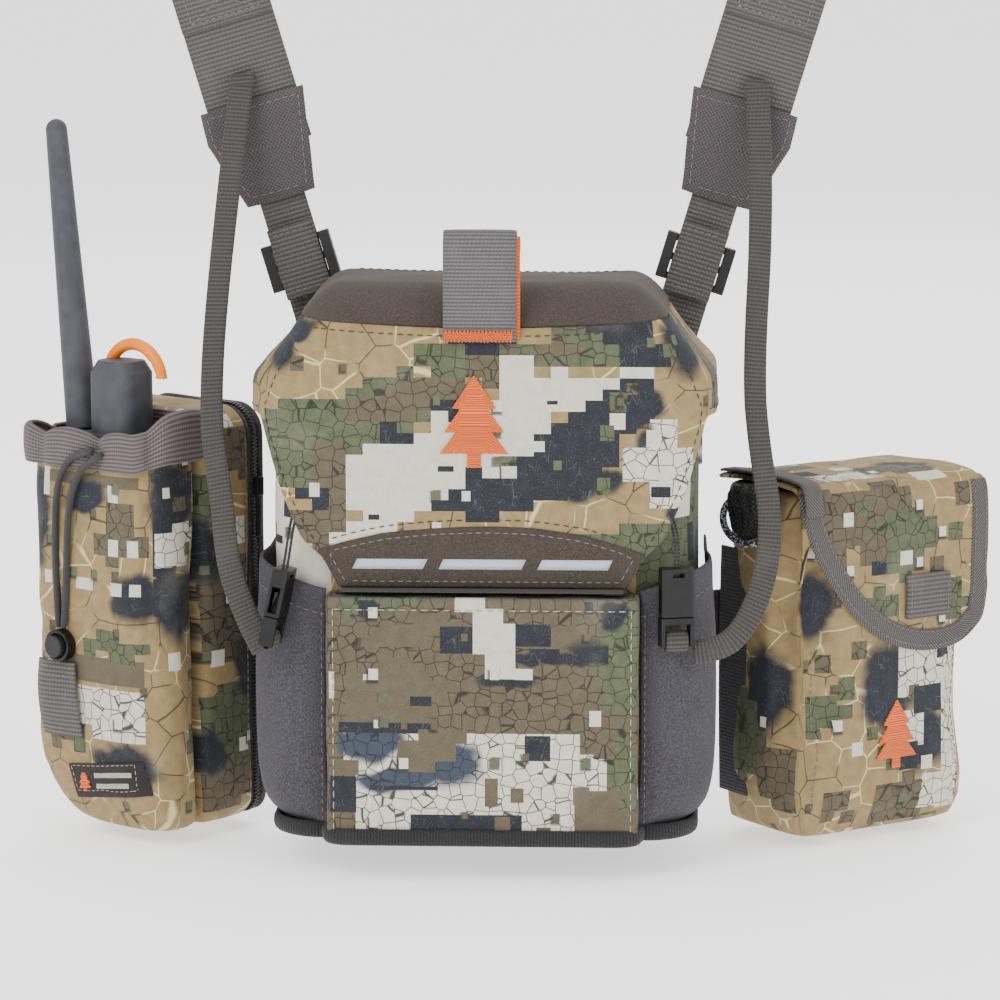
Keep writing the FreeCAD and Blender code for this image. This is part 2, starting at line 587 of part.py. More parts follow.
# ---- flapped pouch ----
def make_range_pouch():
    z0, z1 = RANGE_BOTTOM, RANGE_TOP
    w, d = RANGE_W, RANGE_D
    body = loft([rounded_plan(3, w - 3, 3, d, 5, 4, z0), rounded_plan(0, w, 0, d, 6, 4, z0 + 8),
                 rounded_plan(0, w, 0, d, 6, 4, z1)])
    hollow = loft([rounded_plan(5, w - 5, 5, d - 3, 4, 3, z0 + 3), rounded_plan(3, w - 3, 3, d - 3, 4, 3, z0 + 9),
                   rounded_plan(3, w - 3, 3, d - 3, 4, 3, z1 + 1)])
    add("range_pouch", on_range(body.cut(hollow)))
    add("range_side_strip", on_range(block(-1.4, -0.05, 34, 54, z0 + 10, 0)))
    top = loft([rounded_plan(-2, w + 2, -4.2, d - 0.5, 8, 2, z) for z in (z1 + 0.6, z1 + 3.4)])
    drop = prism_xz([(-2, z1 + 3.4), (-2, 6), (12, -16), (33, -33), (56, -43), (78, -42), (90, -30),
                     (w + 2, -14), (w + 2, z1 + 3.4)], -4.2, -1.6)
    wing = prism_yz([(-4.2, z1 + 3.4), (-4.2, 6), (4, 10), (20, z1), (24, z1 + 3.4)], -2, -0.4)
    flap = top.fuse([drop, wing]).removeSplitter()
    add("range_flap", on_range(flap))
    edge_path = [(-2, 8), (12, -16), (33, -33), (56, -43), (78, -42), (90, -30), (w + 2, -14), (w + 2, 24)]
    inner_path = [(w - 6, 24), (w - 6, -12), (85, -24), (75, -34), (58, -35), (38, -26), (18, -10), (6, 8)]
    add("range_flap_binding", on_range(prism_xz(edge_path + inner_path, -5.0, -4.2)))
    add("range_flap_tab", on_range(block(52, 76, -7.0, -5.0, -30, -11)))
    add("range_flap_magnet", on_range(disc((56, -1.6, -22), (0, 1, 0), 8, 0.9)))
    hank = loft([rounded_plan(-9.8, -2.4, 12, 34, 3, 3, z) for z in (6, 28.6)])
    hank = hank.makeFillet(2.2, [e for e in hank.Edges if e.BoundBox.ZLength < 0.1])
    add("braided_tape_hank", on_range(hank))


# ---- what holds the pouches to the pack ----
def make_pouch_carriers():
    left = on_radio(block(-6, 78, 75.0, 76.8, -46, -21)).fuse(block(-98, -86, -6.6, -4.8, -46, -21))
    right = on_range(block(-4, 96, 59.0, 60.8, -46, -21)).fuse(block(86, 98, -6.6, -4.8, -46, -21))
    add("side_webs", group(left.removeSplitter(), right.removeSplitter()))
    loops = []
    for place, depth, width in ((on_radio, RADIO_D, RADIO_W), (on_range, RANGE_D, RANGE_W)):
        for x in (0.22 * width, 0.68 * width):
            strap = block(x, x + 14, depth, depth + 5.4, -58, -9)
            strap = strap.cut(block(x - 1, x + 15, depth + 0.6, depth + 3.8, -50, -17))
            loops.append(place(strap))
    add("belt_loops", group(*loops))


shell_outer = make_compartment()
make_back_panel()
make_base()
make_side_pockets(shell_outer)
make_front_pocket()
make_hood()
make_pull_tab()
make_magnets()
make_straps()
make_tethers()
make_radio_pouch()
make_radio_fittings()
make_handheld()
make_range_pouch()
make_pouch_carriers()
add("reflective_loop", round_cord(LOOP_CORD, REFLECTIVE_CORD, "reflective_loop"))

for name, shape in parts.items():
    shape.exportStep("parts/" + name + ".step")
print(len(parts), "nodes")
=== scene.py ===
import json
import math
import random

import bmesh
import bpy
from mathutils import Matrix, Vector, noise
from mathutils.bvhtree import BVHTree

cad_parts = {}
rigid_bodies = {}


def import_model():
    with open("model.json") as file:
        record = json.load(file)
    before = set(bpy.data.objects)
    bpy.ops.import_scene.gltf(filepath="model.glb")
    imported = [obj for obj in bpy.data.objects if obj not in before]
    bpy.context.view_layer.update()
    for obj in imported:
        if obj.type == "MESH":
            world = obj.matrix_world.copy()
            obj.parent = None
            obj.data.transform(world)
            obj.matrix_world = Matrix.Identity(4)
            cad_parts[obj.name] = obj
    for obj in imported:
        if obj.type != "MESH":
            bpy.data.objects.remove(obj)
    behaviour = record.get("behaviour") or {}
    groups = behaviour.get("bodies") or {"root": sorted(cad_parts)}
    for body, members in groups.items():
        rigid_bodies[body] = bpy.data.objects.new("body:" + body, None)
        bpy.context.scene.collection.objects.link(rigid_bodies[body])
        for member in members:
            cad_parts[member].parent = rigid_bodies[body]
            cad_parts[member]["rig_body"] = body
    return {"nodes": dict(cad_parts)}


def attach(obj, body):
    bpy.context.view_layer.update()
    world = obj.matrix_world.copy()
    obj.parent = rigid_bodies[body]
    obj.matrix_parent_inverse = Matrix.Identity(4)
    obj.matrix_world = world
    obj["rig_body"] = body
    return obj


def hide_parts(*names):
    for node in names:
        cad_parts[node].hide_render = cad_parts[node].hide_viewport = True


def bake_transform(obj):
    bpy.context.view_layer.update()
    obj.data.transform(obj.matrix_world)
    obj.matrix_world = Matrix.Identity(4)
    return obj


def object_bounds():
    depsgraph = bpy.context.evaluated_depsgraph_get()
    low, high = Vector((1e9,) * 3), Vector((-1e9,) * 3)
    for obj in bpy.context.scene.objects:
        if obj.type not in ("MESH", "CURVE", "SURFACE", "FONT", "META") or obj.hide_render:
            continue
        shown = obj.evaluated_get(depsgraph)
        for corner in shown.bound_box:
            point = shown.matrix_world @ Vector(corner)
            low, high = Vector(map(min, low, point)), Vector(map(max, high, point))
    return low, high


# Binocular harness pack. The CAD frame is in metres. Shapes below are worked out in
# millimetres, +Z up and -Y away from the wearer, and pieces are made in metres.

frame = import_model()
cad_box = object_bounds()
MM = 0.001
YAW = math.radians(36.0)         # both side pouches turn outward by this angle
LEAN = math.radians(16.7)        # outward lean of the shoulder straps
SHOULDER = (79.0, 2.5, 104.0)    # where a strap starts: across, shift to the right, height
RADIO_WIDTH = 70.0
RADIO_DEPTH = 74.0
RANGE_DEPTH = 58.0
SHELL_HALF = 88.0                # half width of the main pack
SHELL_FRONT = -88.0              # the main pack's front face


# ---- places ----
def rotation(angle, axis):
    return Matrix.Rotation(angle, 4, axis)


def move(x, y, z):
    return Matrix.Translation(Vector((x, y, z)))


REAR_LEFT = Vector((-97.5, -3.0, 0.0))
REAR_RIGHT = Vector((97.5, -3.0, 0.0))
RADIO_PLACE = (move(*REAR_LEFT) @ rotation(-YAW, "Z") @ move(-RADIO_WIDTH, -RADIO_DEPTH, 0.0))
RANGE_PLACE = (move(*REAR_RIGHT) @ rotation(YAW, "Z") @ move(0.0, -RANGE_DEPTH, 0.0))


def strap_place(side):
    return move(side * SHOULDER[0] + SHOULDER[1], 0, SHOULDER[2]) @ rotation(side * LEAN, "Y")


# ---- mesh building ----
def make_piece(name, points, faces, place=None, uvs=None):
    """A mesh object from points in millimetres. uvs are one pair for each point, in metres."""
    if place is not None:
        points = [place @ Vector(p) for p in points]
    mesh = bpy.data.meshes.new(name)
    mesh.from_pydata([Vector(p) * MM for p in points], [], faces)
    mesh.validate()
    piece = bpy.data.objects.new(name, mesh)
    bpy.context.scene.collection.objects.link(piece)
    if uvs is not None:
        layer = mesh.uv_layers.new(name="UVMap")
        for loop in mesh.loops:
            layer.data[loop.index].uv = uvs[loop.vertex_index]
    for polygon in mesh.polygons:
        polygon.use_smooth = True
    return piece


def grid_faces(rows, columns, closed=False):
    """Quads over a grid of points stored row by row. closed joins the last column to the first."""
    faces = []
    for i in range(rows - 1):
        for j in range(columns if closed else columns - 1):
            k = (j + 1) % columns
            faces.append((i * columns + j, i * columns + k, (i + 1) * columns + k, (i + 1) * columns + j))
    return faces


def grid_piece(name, rows, place=None, closed=False, uvs=None):
    points = [p for row in rows for p in row]
    if uvs is not None:
        uvs = [uv for row in uvs for uv in row]
    return make_piece(name, points, grid_faces(len(rows), len(rows[0]), closed), place, uvs)


def finish_piece(piece, material, body, replaced=()):
    """Give a piece its material, its body and the CAD nodes that it stands for."""
    if material is not None:
        piece.data.materials.clear()
        piece.data.materials.append(material)
    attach(piece, body)
    if replaced:
        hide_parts(*replaced)
    return piece


def settle(piece):
    """Apply a piece's modifiers to its mesh."""
    graph = bpy.context.evaluated_depsgraph_get()
    mesh = bpy.data.meshes.new_from_object(piece.evaluated_get(graph), depsgraph=graph)
    piece.modifiers.clear()
    piece.data = mesh
    return piece


def thicken(piece, thick, inward=True):
    solid = piece.modifiers.new("Solidify", "SOLIDIFY")
    solid.thickness = thick * MM
    solid.offset = -1.0 if inward else 1.0
    return piece


def subdivide(piece, levels=1):
    surface = piece.modifiers.new("Subsurf", "SUBSURF")
    surface.levels = levels
    surface.render_levels = levels
    return piece


def soften_edges(piece, width, segments=3, angle=35.0):
    bevel = piece.modifiers.new("Bevel", "BEVEL")
    bevel.width = width * MM
    bevel.segments = segments
    bevel.limit_method = "ANGLE"
    bevel.angle_limit = math.radians(angle)
    return piece


def join(pieces, name):
    """One object from several, keeping their UVs and materials."""
    for piece in pieces:
        settle(piece)
    bpy.ops.object.select_all(action="DESELECT")
    for piece in pieces:
        piece.select_set(True)
    bpy.context.view_layer.objects.active = pieces[0]
    bpy.ops.object.join()
    pieces[0].name = name
    pieces[0].data.name = name
    return pieces[0]


def paint_uv(piece, across, wrap=None):
    """UVs in metres from across(point in mm), a pair in mm. wrap is the length of a closed way round."""
    mesh = piece.data
    while mesh.uv_layers:
        mesh.uv_layers.remove(mesh.uv_layers[0])
    layer = mesh.uv_layers.new(name="UVMap")
    pairs = [across(v.co / MM) for v in mesh.vertices]
    for polygon in mesh.polygons:
        corners = [pairs[i] for i in polygon.vertices]
        furthest = max(c[0] for c in corners)
        for loop, (u, v) in zip(polygon.loop_indices, corners):
            if wrap is not None and furthest - u > wrap / 2:
                u += wrap
            layer.data[loop].uv = (u * MM, v * MM)
    return piece


def ripple(piece, amount, size, seed=0.0, hold=None):
    """Shift points along their normals by smooth noise. hold(point) from 0 to 1 lessens it."""
    mesh = piece.data
    shifts = []
    for v in mesh.vertices:
        p = v.co / MM
        strength = amount if hold is None else amount * hold(p)
        shifts.append(v.normal * (noise.noise(p / size + Vector((seed, seed, seed))) * strength * MM))
    for v, shift in zip(mesh.vertices, shifts):
        v.co += shift
    mesh.update()
    return piece


def tree_of(piece):
    """A search tree over a piece's evaluated surface, in metres."""
    return BVHTree.FromObject(piece, bpy.context.evaluated_depsgraph_get())


def smooth_step(x, low, high):
    t = min(max((x - low) / (high - low), 0.0), 1.0)
    return t * t * (3 - 2 * t)


# ---- outlines ----
def rounded_outline(x0, x1, y0, y1, front, back, steps=6, wide=14, deep=8):
    """Points round a rectangle with rounded corners, from the middle of its rear side and back to it.
    They run along the rear to the left, forward, across the front and back. Their number depends
    only on steps, wide and deep."""
    middle = (x0 + x1) / 2
    stops = [[(middle, y1)]]
    for cx, cy, r, first in ((x0 + back, y1 - back, back, 90), (x0 + front, y0 + front, front, 180),
                             (x1 - front, y0 + front, front, 270), (x1 - back, y1 - back, back, 0)):
        angles = [math.radians(first + 90 * i / steps) for i in range(steps + 1)]
        stops.append([(cx + r * math.cos(a), cy + r * math.sin(a)) for a in angles])
    stops.append([(middle, y1)])
    outline = list(stops[0])
    for before, after, count in zip(stops, stops[1:], (wide // 2, deep, wide, deep, wide // 2)):
        (ax, ay), (bx, by) = before[-1], after[0]
        outline += [(ax + (bx - ax) * k / count, ay + (by - ay) * k / count) for k in range(1, count)]
        outline += after
    return outline


def loft_piece(name, levels, place=None, close_bottom=False, close_top=False, shift=0.0):
    """A skin through outlines: levels are (height, outline). UVs run round it from the middle of
    the front, and up it along the slope."""
    rows, uvs = [], []
    up = levels[0][0]
    for i, (z, outline) in enumerate(levels):
        if i:
            (z0, before), front = levels[i - 1], len(outline) // 2
            up += math.dist((*before[front], z0), (*outline[front], z)) * (1 if z >= z0 else -1)
        around = [0.0]
        for a, b in zip(outline, outline[1:]):
            around.append(around[-1] + math.dist(a, b))
        rows.append([(x, y, z) for x, y in outline])
        uvs.append([((s - around[-1] / 2 + shift) * MM, up * MM) for s in around])
    piece = grid_piece(name, rows, place, uvs=uvs)
    shape = bmesh.new()
    shape.from_mesh(piece.data)
    bmesh.ops.remove_doubles(shape, verts=shape.verts, dist=1e-6)
    rims = {}
    for edge in shape.edges:
        if edge.is_boundary:
            low = all(abs(v.co.z / MM - levels[0][0]) < 0.01 for v in edge.verts)
            rims.setdefault(low, []).append(edge)
    if close_bottom and True in rims:
        bmesh.ops.holes_fill(shape, edges=rims[True], sides=0)
    if close_top and False in rims:
        bmesh.ops.holes_fill(shape, edges=rims[False], sides=0)
    bmesh.ops.recalc_face_normals(shape, faces=shape.faces)
    shape.to_mesh(piece.data)
    shape.free()
    for polygon in piece.data.polygons:
        polygon.use_smooth = True
    return piece


def levels_between(stops, spacing):
    """Heights about spacing apart between stops of (height, value, ...), with the values blended."""
    levels = []
    for a, b in zip(stops, stops[1:]):
        count = max(1, round(abs(b[0] - a[0]) / spacing))
        for k in range(count):
            levels.append(tuple(p + (q - p) * k / count for p, q in zip(a, b)))
    return levels + [tuple(stops[-1])]


def fill_gaps(points, longest):
    """The same polyline with points added so that no run is longer than longest."""
    filled = []
    for a, b in zip(points, points[1:]):
        count = max(1, math.ceil(math.dist(a, b) / longest))
        for k in range(count):
            filled.append(tuple(p + (q - p) * k / count for p, q in zip(a, b)))
    return filled + [tuple(points[-1])]


def even_line(points, spacing):
    """The whole polyline, divided evenly at about the given spacing."""
    points = [Vector(p) for p in points]
    total = sum((b - a).length for a, b in zip(points, points[1:]))
    count = max(1, round(total / spacing))
    line = [points[0].copy()]
    run = 0.0
    for a, b in zip(points, points[1:]):
        length = (b - a).length
        while len(line) < count and len(line) * total / count <= run + length:
            line.append(a + (b - a) * ((len(line) * total / count - run) / length))
        run += length
    return line + [points[-1].copy()]


def smooth_line(points, count=8, closed=False):
    """A Catmull-Rom curve through given points."""
    p = [Vector(q) for q in points]
    ends = [p[-1]] + p + [p[0], p[1]] if closed else [2 * p[0] - p[1]] + p + [2 * p[-1] - p[-2]]
    line = []
    for a, b, c, d in zip(ends, ends[1:], ends[2:], ends[3:]):
        for k in range(count):
            t = k / count
            line.append(0.5 * (2 * b + (c - a) * t + (2 * a - 5 * b + 4 * c - d) * t * t
                               + (3 * b - a - 3 * c + d) * t ** 3))
    return line if closed else line + [p[-1]]


# ---- materials ----
def rgb(r, g, b):
    """A display colour, 0 to 255 each, as the linear colour that shaders use."""
    def linear(c):
        c /= 255
        return c / 12.92 if c <= 0.04045 else ((c + 0.055) / 1.055) ** 2.4
    return (linear(r), linear(g), linear(b), 1.0)


TAN = rgb(150, 128, 88)
CREAM = rgb(206, 188, 142)
GREEN = rgb(88, 93, 70)
BROWN = rgb(86, 78, 60)
OFF_WHITE = rgb(206, 201, 186)
SLATE = rgb(38, 41, 49)
SHADOW = rgb(38, 40, 40)
GREY_WEB = rgb(92, 88, 85)
ORANGE = rgb(222, 92, 0)


class Nodes:
    """Short calls for building one material's nodes. Lengths are in millimetres."""

    def __init__(self, name, roughness=0.8, **sockets):
        self.material = bpy.data.materials.new(name)
        self.material.use_nodes = True
        self.tree = self.material.node_tree
        self.shader = self.tree.nodes["Principled BSDF"]
        self.shader.inputs["Roughness"].default_value = roughness
        for socket, value in sockets.items():
            self.shader.inputs[socket.replace("_", " ")].default_value = value

    def put(self, value, socket):
        if isinstance(value, bpy.types.NodeSocket):
            self.tree.links.new(value, socket)
        else:
            socket.default_value = value

    def new(self, kind, **settings):
        node = self.tree.nodes.new("ShaderNode" + kind)
        for key, value in settings.items():
            setattr(node, key, value)
        return node

    def math(self, operation, *values):
        node = self.new("Math", operation=operation)
        for value, socket in zip(values, node.inputs):
            self.put(value, socket)
        return node.outputs[0]

    def vector(self, operation, *values, output="Vector"):
        node = self.new("VectorMath", operation=operation)
        for value, socket in zip(values, node.inputs):
            self.put(value, socket)
        return node.outputs[output]

    def scale(self, vector, factor):
        node = self.new("VectorMath", operation="SCALE")
        self.put(vector, node.inputs[0])
        self.put(factor, node.inputs["Scale"])
        return node.outputs[0]

    def split(self, vector):
        node = self.new("SeparateXYZ")
        self.put(vector, node.inputs[0])
        return node.outputs[0], node.outputs[1]

    def joined(self, x, y):
        node = self.new("CombineXYZ")
        self.put(x, node.inputs[0])
        self.put(y, node.inputs[1])
        return node.outputs[0]

    def ramp(self, value, low, high, smooth=True):
        """0 at low and 1 at high."""
        node = self.new("MapRange", interpolation_type="SMOOTHSTEP" if smooth else "LINEAR")
        self.put(value, node.inputs[0])
        node.inputs[1].default_value = low
        node.inputs[2].default_value = high
        return node.outputs[0]

    def mix(self, factor, a, b, blend="MIX"):
        node = self.new("Mix", data_type="RGBA", blend_type=blend)
        self.put(factor, node.inputs[0])
        self.put(a, node.inputs[6])
        self.put(b, node.inputs[7])
        return node.outputs[2]

    def noise(self, vector, size, detail=2.0, output=0):
        node = self.new("TexNoise")
        self.put(vector, node.inputs["Vector"])
        node.inputs["Scale"].default_value = 1 / size
        node.inputs["Detail"].default_value = detail
        return node.outputs[output]

    def voronoi(self, vector, size, feature="F1", output=0, randomness=1.0):
        node = self.new("TexVoronoi", feature=feature)
        self.put(vector, node.inputs["Vector"])
        node.inputs["Scale"].default_value = 1 / size
        node.inputs["Randomness"].default_value = randomness
        return node.outputs[output]

    def random(self, vector, output="Value"):
        node = self.new("TexWhiteNoise", noise_dimensions="2D")
        self.put(vector, node.inputs["Vector"])
        return node.outputs[output]

    def uv(self):
        """The fabric's own flat coordinates in millimetres."""
        node = self.new("UVMap", uv_map="UVMap")
        return self.scale(node.outputs[0], 1000.0)

    def place(self):
        """The piece's own coordinates in millimetres."""
        node = self.new("TexCoord")
        return self.scale(node.outputs["Object"], 1000.0)

    def ribs(self, along, pitch):
        """0 to 1 across parallel ribs."""
        wave = self.math("SINE", self.math("MULTIPLY", along, 2 * math.pi / pitch))
        return self.math("MULTIPLY_ADD", wave, 0.5, 0.5)

    def weave(self, vector, pitch):
        """0 to 1 over a plain weave."""
        x, y = self.split(vector)
        wave_x = self.math("SINE", self.math("MULTIPLY", x, 2 * math.pi / pitch))
        wave_y = self.math("SINE", self.math("MULTIPLY", y, 2 * math.pi / pitch))
        return self.math("MULTIPLY_ADD", self.math("MULTIPLY", wave_x, wave_y), 0.5, 0.5)

    def bump(self, height, depth, strength=1.0):
        """Depth is how far full height stands out, in millimetres."""
        node = self.new("Bump")
        self.put(height, node.inputs["Height"])
        node.inputs["Distance"].default_value = depth * MM
        node.inputs["Strength"].default_value = strength
        self.tree.links.new(node.outputs[0], self.shader.inputs["Normal"])

    def done(self, colour, roughness=None):
        self.put(colour, self.shader.inputs["Base Color"])
        if roughness is not None:
            self.put(roughness, self.shader.inputs["Roughness"])
        return self.material


def cloth_shader(name, roughness=0.85, sheen=0.05):
    nodes = Nodes(name, roughness)
    nodes.shader.inputs["Sheen Weight"].default_value = sheen
    nodes.shader.inputs["Sheen Roughness"].default_value = 0.5
    nodes.shader.inputs["Specular IOR Level"].default_value = 0.25
    return nodes


def edge_wear(n, colour, vector, paler, amount=0.25):
    """Slightly paler, scuffed patches."""
    worn = n.ramp(n.noise(vector, 26.0, 4.0), 0.52, 0.75)
    return n.mix(n.math("MULTIPLY", worn, amount), colour, paler)


# ---- the printed camouflage ----
STEP = (7.0, 4.6, 1.0)           # width and height of the print's stepped blocks


def patch_distance(n, vector, patches, boxes):
    """How far a point lies from the nearest patch: under 1 is inside."""
    nearest = None
    for x, y, half_x, half_y, *turn in patches:
        mapping = n.new("Mapping", vector_type="TEXTURE")
        n.put(vector, mapping.inputs[0])
        mapping.inputs["Location"].default_value = (x, y, 0)
        mapping.inputs["Rotation"].default_value = (0, 0, math.radians(turn[0]) if turn else 0)
        mapping.inputs["Scale"].default_value = (half_x, half_y, 1)
        local = mapping.outputs[0]
        if boxes:
            across, up = n.split(n.vector("ABSOLUTE", local))
            distance = n.math("MAXIMUM", across, up)
        else:
            flat = n.vector("MULTIPLY", local, (1, 1, 0))
            distance = n.vector("LENGTH", flat, output="Value")
        nearest = distance if nearest is None else n.math("MINIMUM", nearest, distance)
    return nearest


def camo(name, layers, seed=0.0):
    """Stepped patches of cracked tan, green, brown, off-white and airbrushed slate.
    layers are (style, patches), painted in order over the tan ground. A patch is its
    centre, its half width and height, and a turn in degrees."""
    n = cloth_shader(name, 0.82, 0.04)
    at = n.uv()
    moved = n.vector("ADD", at, (seed * 37.0, seed * 53.0, 0.0))
    stepped = n.vector("ADD", n.vector("SNAP", at, STEP), (STEP[0] / 2, STEP[1] / 2, 0.0))
    sway = n.vector("SUBTRACT", n.noise(n.vector("ADD", stepped, (seed * 37.0, seed * 53.0, 0.0)),
                                        13.0, 1.0, 1), (0.5, 0.5, 0.5))
    stepped = n.vector("ADD", stepped, n.scale(sway, 15.0))
    drift = n.vector("SUBTRACT", n.noise(moved, 16.0, 2.0, 1), (0.5, 0.5, 0.5))
    soft = n.vector("ADD", at, n.scale(drift, 14.0))

    bent = n.vector("ADD", moved, n.scale(n.vector("SUBTRACT", n.noise(moved, 9.0, 1.0, 1),
                                                   (0.5, 0.5, 0.5)), 0.9))
    large = n.ramp(n.voronoi(bent, 16.0, "DISTANCE_TO_EDGE", randomness=0.72), 0.006, 0.024)
    small = n.ramp(n.voronoi(bent, 5.6, "DISTANCE_TO_EDGE", randomness=0.6), 0.012, 0.05)
    mottle = n.noise(moved, 5.0, 3.0)
    patchy = n.ramp(n.noise(moved, 30.0, 1.0), 0.46, 0.54)

    tan = n.mix(n.ramp(mottle, 0.3, 0.7), TAN, rgb(136, 115, 78))
    line = n.mix(patchy, CREAM, rgb(74, 62, 38))
    tan_cells = n.mix(large, line, tan)
    green = n.mix(n.ramp(mottle, 0.3, 0.7), GREEN, rgb(76, 83, 60))
    brown = n.mix(n.ramp(mottle, 0.3, 0.7), BROWN, rgb(94, 85, 68))
    white = n.mix(n.ramp(mottle, 0.35, 0.75), OFF_WHITE, rgb(194, 189, 176))
    scratch_at = n.vector("MULTIPLY", moved, (1.0, 0.35, 1.0))
    scratches = n.ramp(n.voronoi(scratch_at, 2.6, "DISTANCE_TO_EDGE"), 0.0, 0.035)
    faint = n.ramp(n.noise(moved, 7.0, 2.0), 0.5, 0.62)
    slate = n.mix(n.ramp(mottle, 0.3, 0.7), SLATE, rgb(32, 35, 42))
    slate = n.mix(n.math("MULTIPLY", n.math("SUBTRACT", 1.0, scratches),
                         n.math("MULTIPLY", faint, 0.5)), slate, rgb(96, 101, 96))
    styles = {
        "green": n.mix(small, rgb(42, 50, 32), green),
        "brown": n.mix(small, rgb(46, 42, 34), brown),
        "plain brown": brown,
        "white": white,
        "white cells": n.mix(small, rgb(62, 62, 54), white),
        "slate": slate,
        "tan": tan_cells,
        "blue": n.mix(small, rgb(32, 35, 42), rgb(56, 63, 76)),
    }
    colour = tan_cells
    for style, patches in layers:
        kind, _, paint = style.partition(":")
        if kind == "soft":
            distance = patch_distance(n, soft, patches, False)
            mask = n.ramp(distance, 1.25, 0.75)
        elif kind == "box":
            distance = patch_distance(n, at, patches, True)
            mask = n.math("LESS_THAN", distance, 1.0)
        else:
            distance = patch_distance(n, stepped, patches, False)
            mask = n.math("LESS_THAN", distance, 1.0)
        colour = n.mix(mask, colour, styles[paint])
    colour = raised_squares(n, colour, moved)
    grain = n.noise(at, 0.45, 1.0)
    colour = n.mix(n.math("MULTIPLY", n.ramp(grain, 0.35, 0.7), 0.16), colour, rgb(60, 58, 54))
    pale = n.ramp(n.noise(moved, 0.6, 1.0), 0.6, 0.8)
    colour = n.mix(n.math("MULTIPLY", pale, 0.10), colour, rgb(225, 222, 214))
    worn = n.ramp(n.noise(at, 34.0, 4.0), 0.55, 0.8)
    colour = n.mix(n.math("MULTIPLY", worn, 0.10), colour, rgb(200, 194, 182))
    height = n.math("ADD", n.math("MULTIPLY", n.weave(at, 0.9), 0.5),
                    n.math("MULTIPLY", n.noise(at, 0.8, 3.0), 0.7))
    n.bump(height, 0.12, 0.7)
    return n.done(colour, n.math("MULTIPLY_ADD", grain, 0.2, 0.72))


def raised_squares(n, colour, moved):
    """Small squares printed with a drop shadow, as if they stood off the cloth."""
    pitch = 12.5
    corner = n.vector("SNAP", moved, (pitch, pitch, 1.0))
    draw = n.random(corner, "Color")
    chance, shade = n.split(draw)
    inside = n.vector("SUBTRACT", n.vector("SUBTRACT", moved, corner), (pitch / 2, pitch / 2, 0.0))
    push = n.scale(n.vector("SUBTRACT", draw, (0.5, 0.5, 0.5)), 4.0)
    inside = n.vector("ADD", inside, push)
    wanted = n.math("GREATER_THAN", chance, 0.84)
    half = n.math("MULTIPLY_ADD", shade, 0.8, 1.2)

    def square(offset, softness):
        x, y = n.split(n.vector("ABSOLUTE", n.vector("ADD", inside, offset)))
        reach = n.math("SUBTRACT", n.math("MAXIMUM", x, n.math("MULTIPLY", y, 0.85)), half)
        return n.math("MULTIPLY", n.ramp(reach, softness, -0.05), wanted)

    colour = n.mix(n.math("MULTIPLY", square((0.5, 0.9, 0.0), 1.1), 0.85), colour, SHADOW)
    pick = n.math("GREATER_THAN", shade, 0.7)
    paint = n.mix(pick, n.mix(n.math("GREATER_THAN", shade, 0.3), BROWN, GREEN), OFF_WHITE)
    return n.mix(square((0.0, 0.0, 0.0), 0.05), colour, paint)


# ---- plain materials ----
def webbing(name, colour=GREY_WEB, pitch=1.9, dark=0.45):
    """Woven nylon tape: ribs across its width, each broken into slanting picks."""
    n = cloth_shader(name, 0.7, 0.07)
    at = n.uv()
    x, y = n.split(at)
    row = n.math("FLOOR", n.math("DIVIDE", y, pitch))
    odd = n.math("MULTIPLY", n.math("MODULO", n.math("ABSOLUTE", row), 2.0), 0.8)
    rib = n.ribs(y, pitch)
    pick = n.ribs(n.math("ADD", x, n.math("ADD", odd, n.math("MULTIPLY", y, 0.35))), 1.6)
    height = n.math("MULTIPLY", rib, n.math("MULTIPLY_ADD", pick, 0.6, 0.4))
    fibre = n.noise(n.vector("MULTIPLY", at, (1.0, 5.0, 1.0)), 0.9, 2.0)
    # light and shade are lit and shaded copies of the tape's colour: painted shade, scaled by dark, in the
    # valleys between ribs, and a painted highlight on the raised fibres. light is also the paler colour of
    # the wear patches.
    light = tuple(min(1.0, c * 1.45) for c in colour[:3]) + (1.0,)
    shade = tuple(c * dark for c in colour[:3]) + (1.0,)
    base = n.mix(n.ramp(height, 0.05, 0.6), shade, colour)
    base = n.mix(n.math("MULTIPLY", n.ramp(fibre, 0.45, 0.7), 0.35), base, light)
    base = edge_wear(n, base, at, light, 0.3)
    n.bump(n.math("ADD", height, n.math("MULTIPLY", fibre, 0.25)), 0.38)
    return n.done(base, n.math("MULTIPLY_ADD", height, -0.15, 0.78))


def twill(name, colour, pitch=1.5):
    """Binding tape in a herringbone of slanting ribs that meet at the middle."""
    n = cloth_shader(name, 0.75, 0.07)
    at = n.uv()
    x, y = n.split(at)
    slant = n.ribs(n.math("ADD", y, n.math("MULTIPLY", n.math("ABSOLUTE", x), 1.1)), pitch)
    pick = n.ribs(n.math("SUBTRACT", x, n.math("MULTIPLY", y, 0.6)), 1.1)
    height = n.math("MULTIPLY", slant, n.math("MULTIPLY_ADD", pick, 0.5, 0.5))
    # light and shade are lit and shaded copies of the tape's colour: a painted highlight on each slanting rib
    # and painted shade between ribs.
    light = tuple(min(1.0, c * 1.5) for c in colour[:3]) + (1.0,)
    shade = tuple(c * 0.4 for c in colour[:3]) + (1.0,)
    base = n.mix(n.ramp(height, 0.05, 0.7), shade, light)
    base = edge_wear(n, base, at, light, 0.2)
    n.bump(height, 0.32)
    return n.done(base)


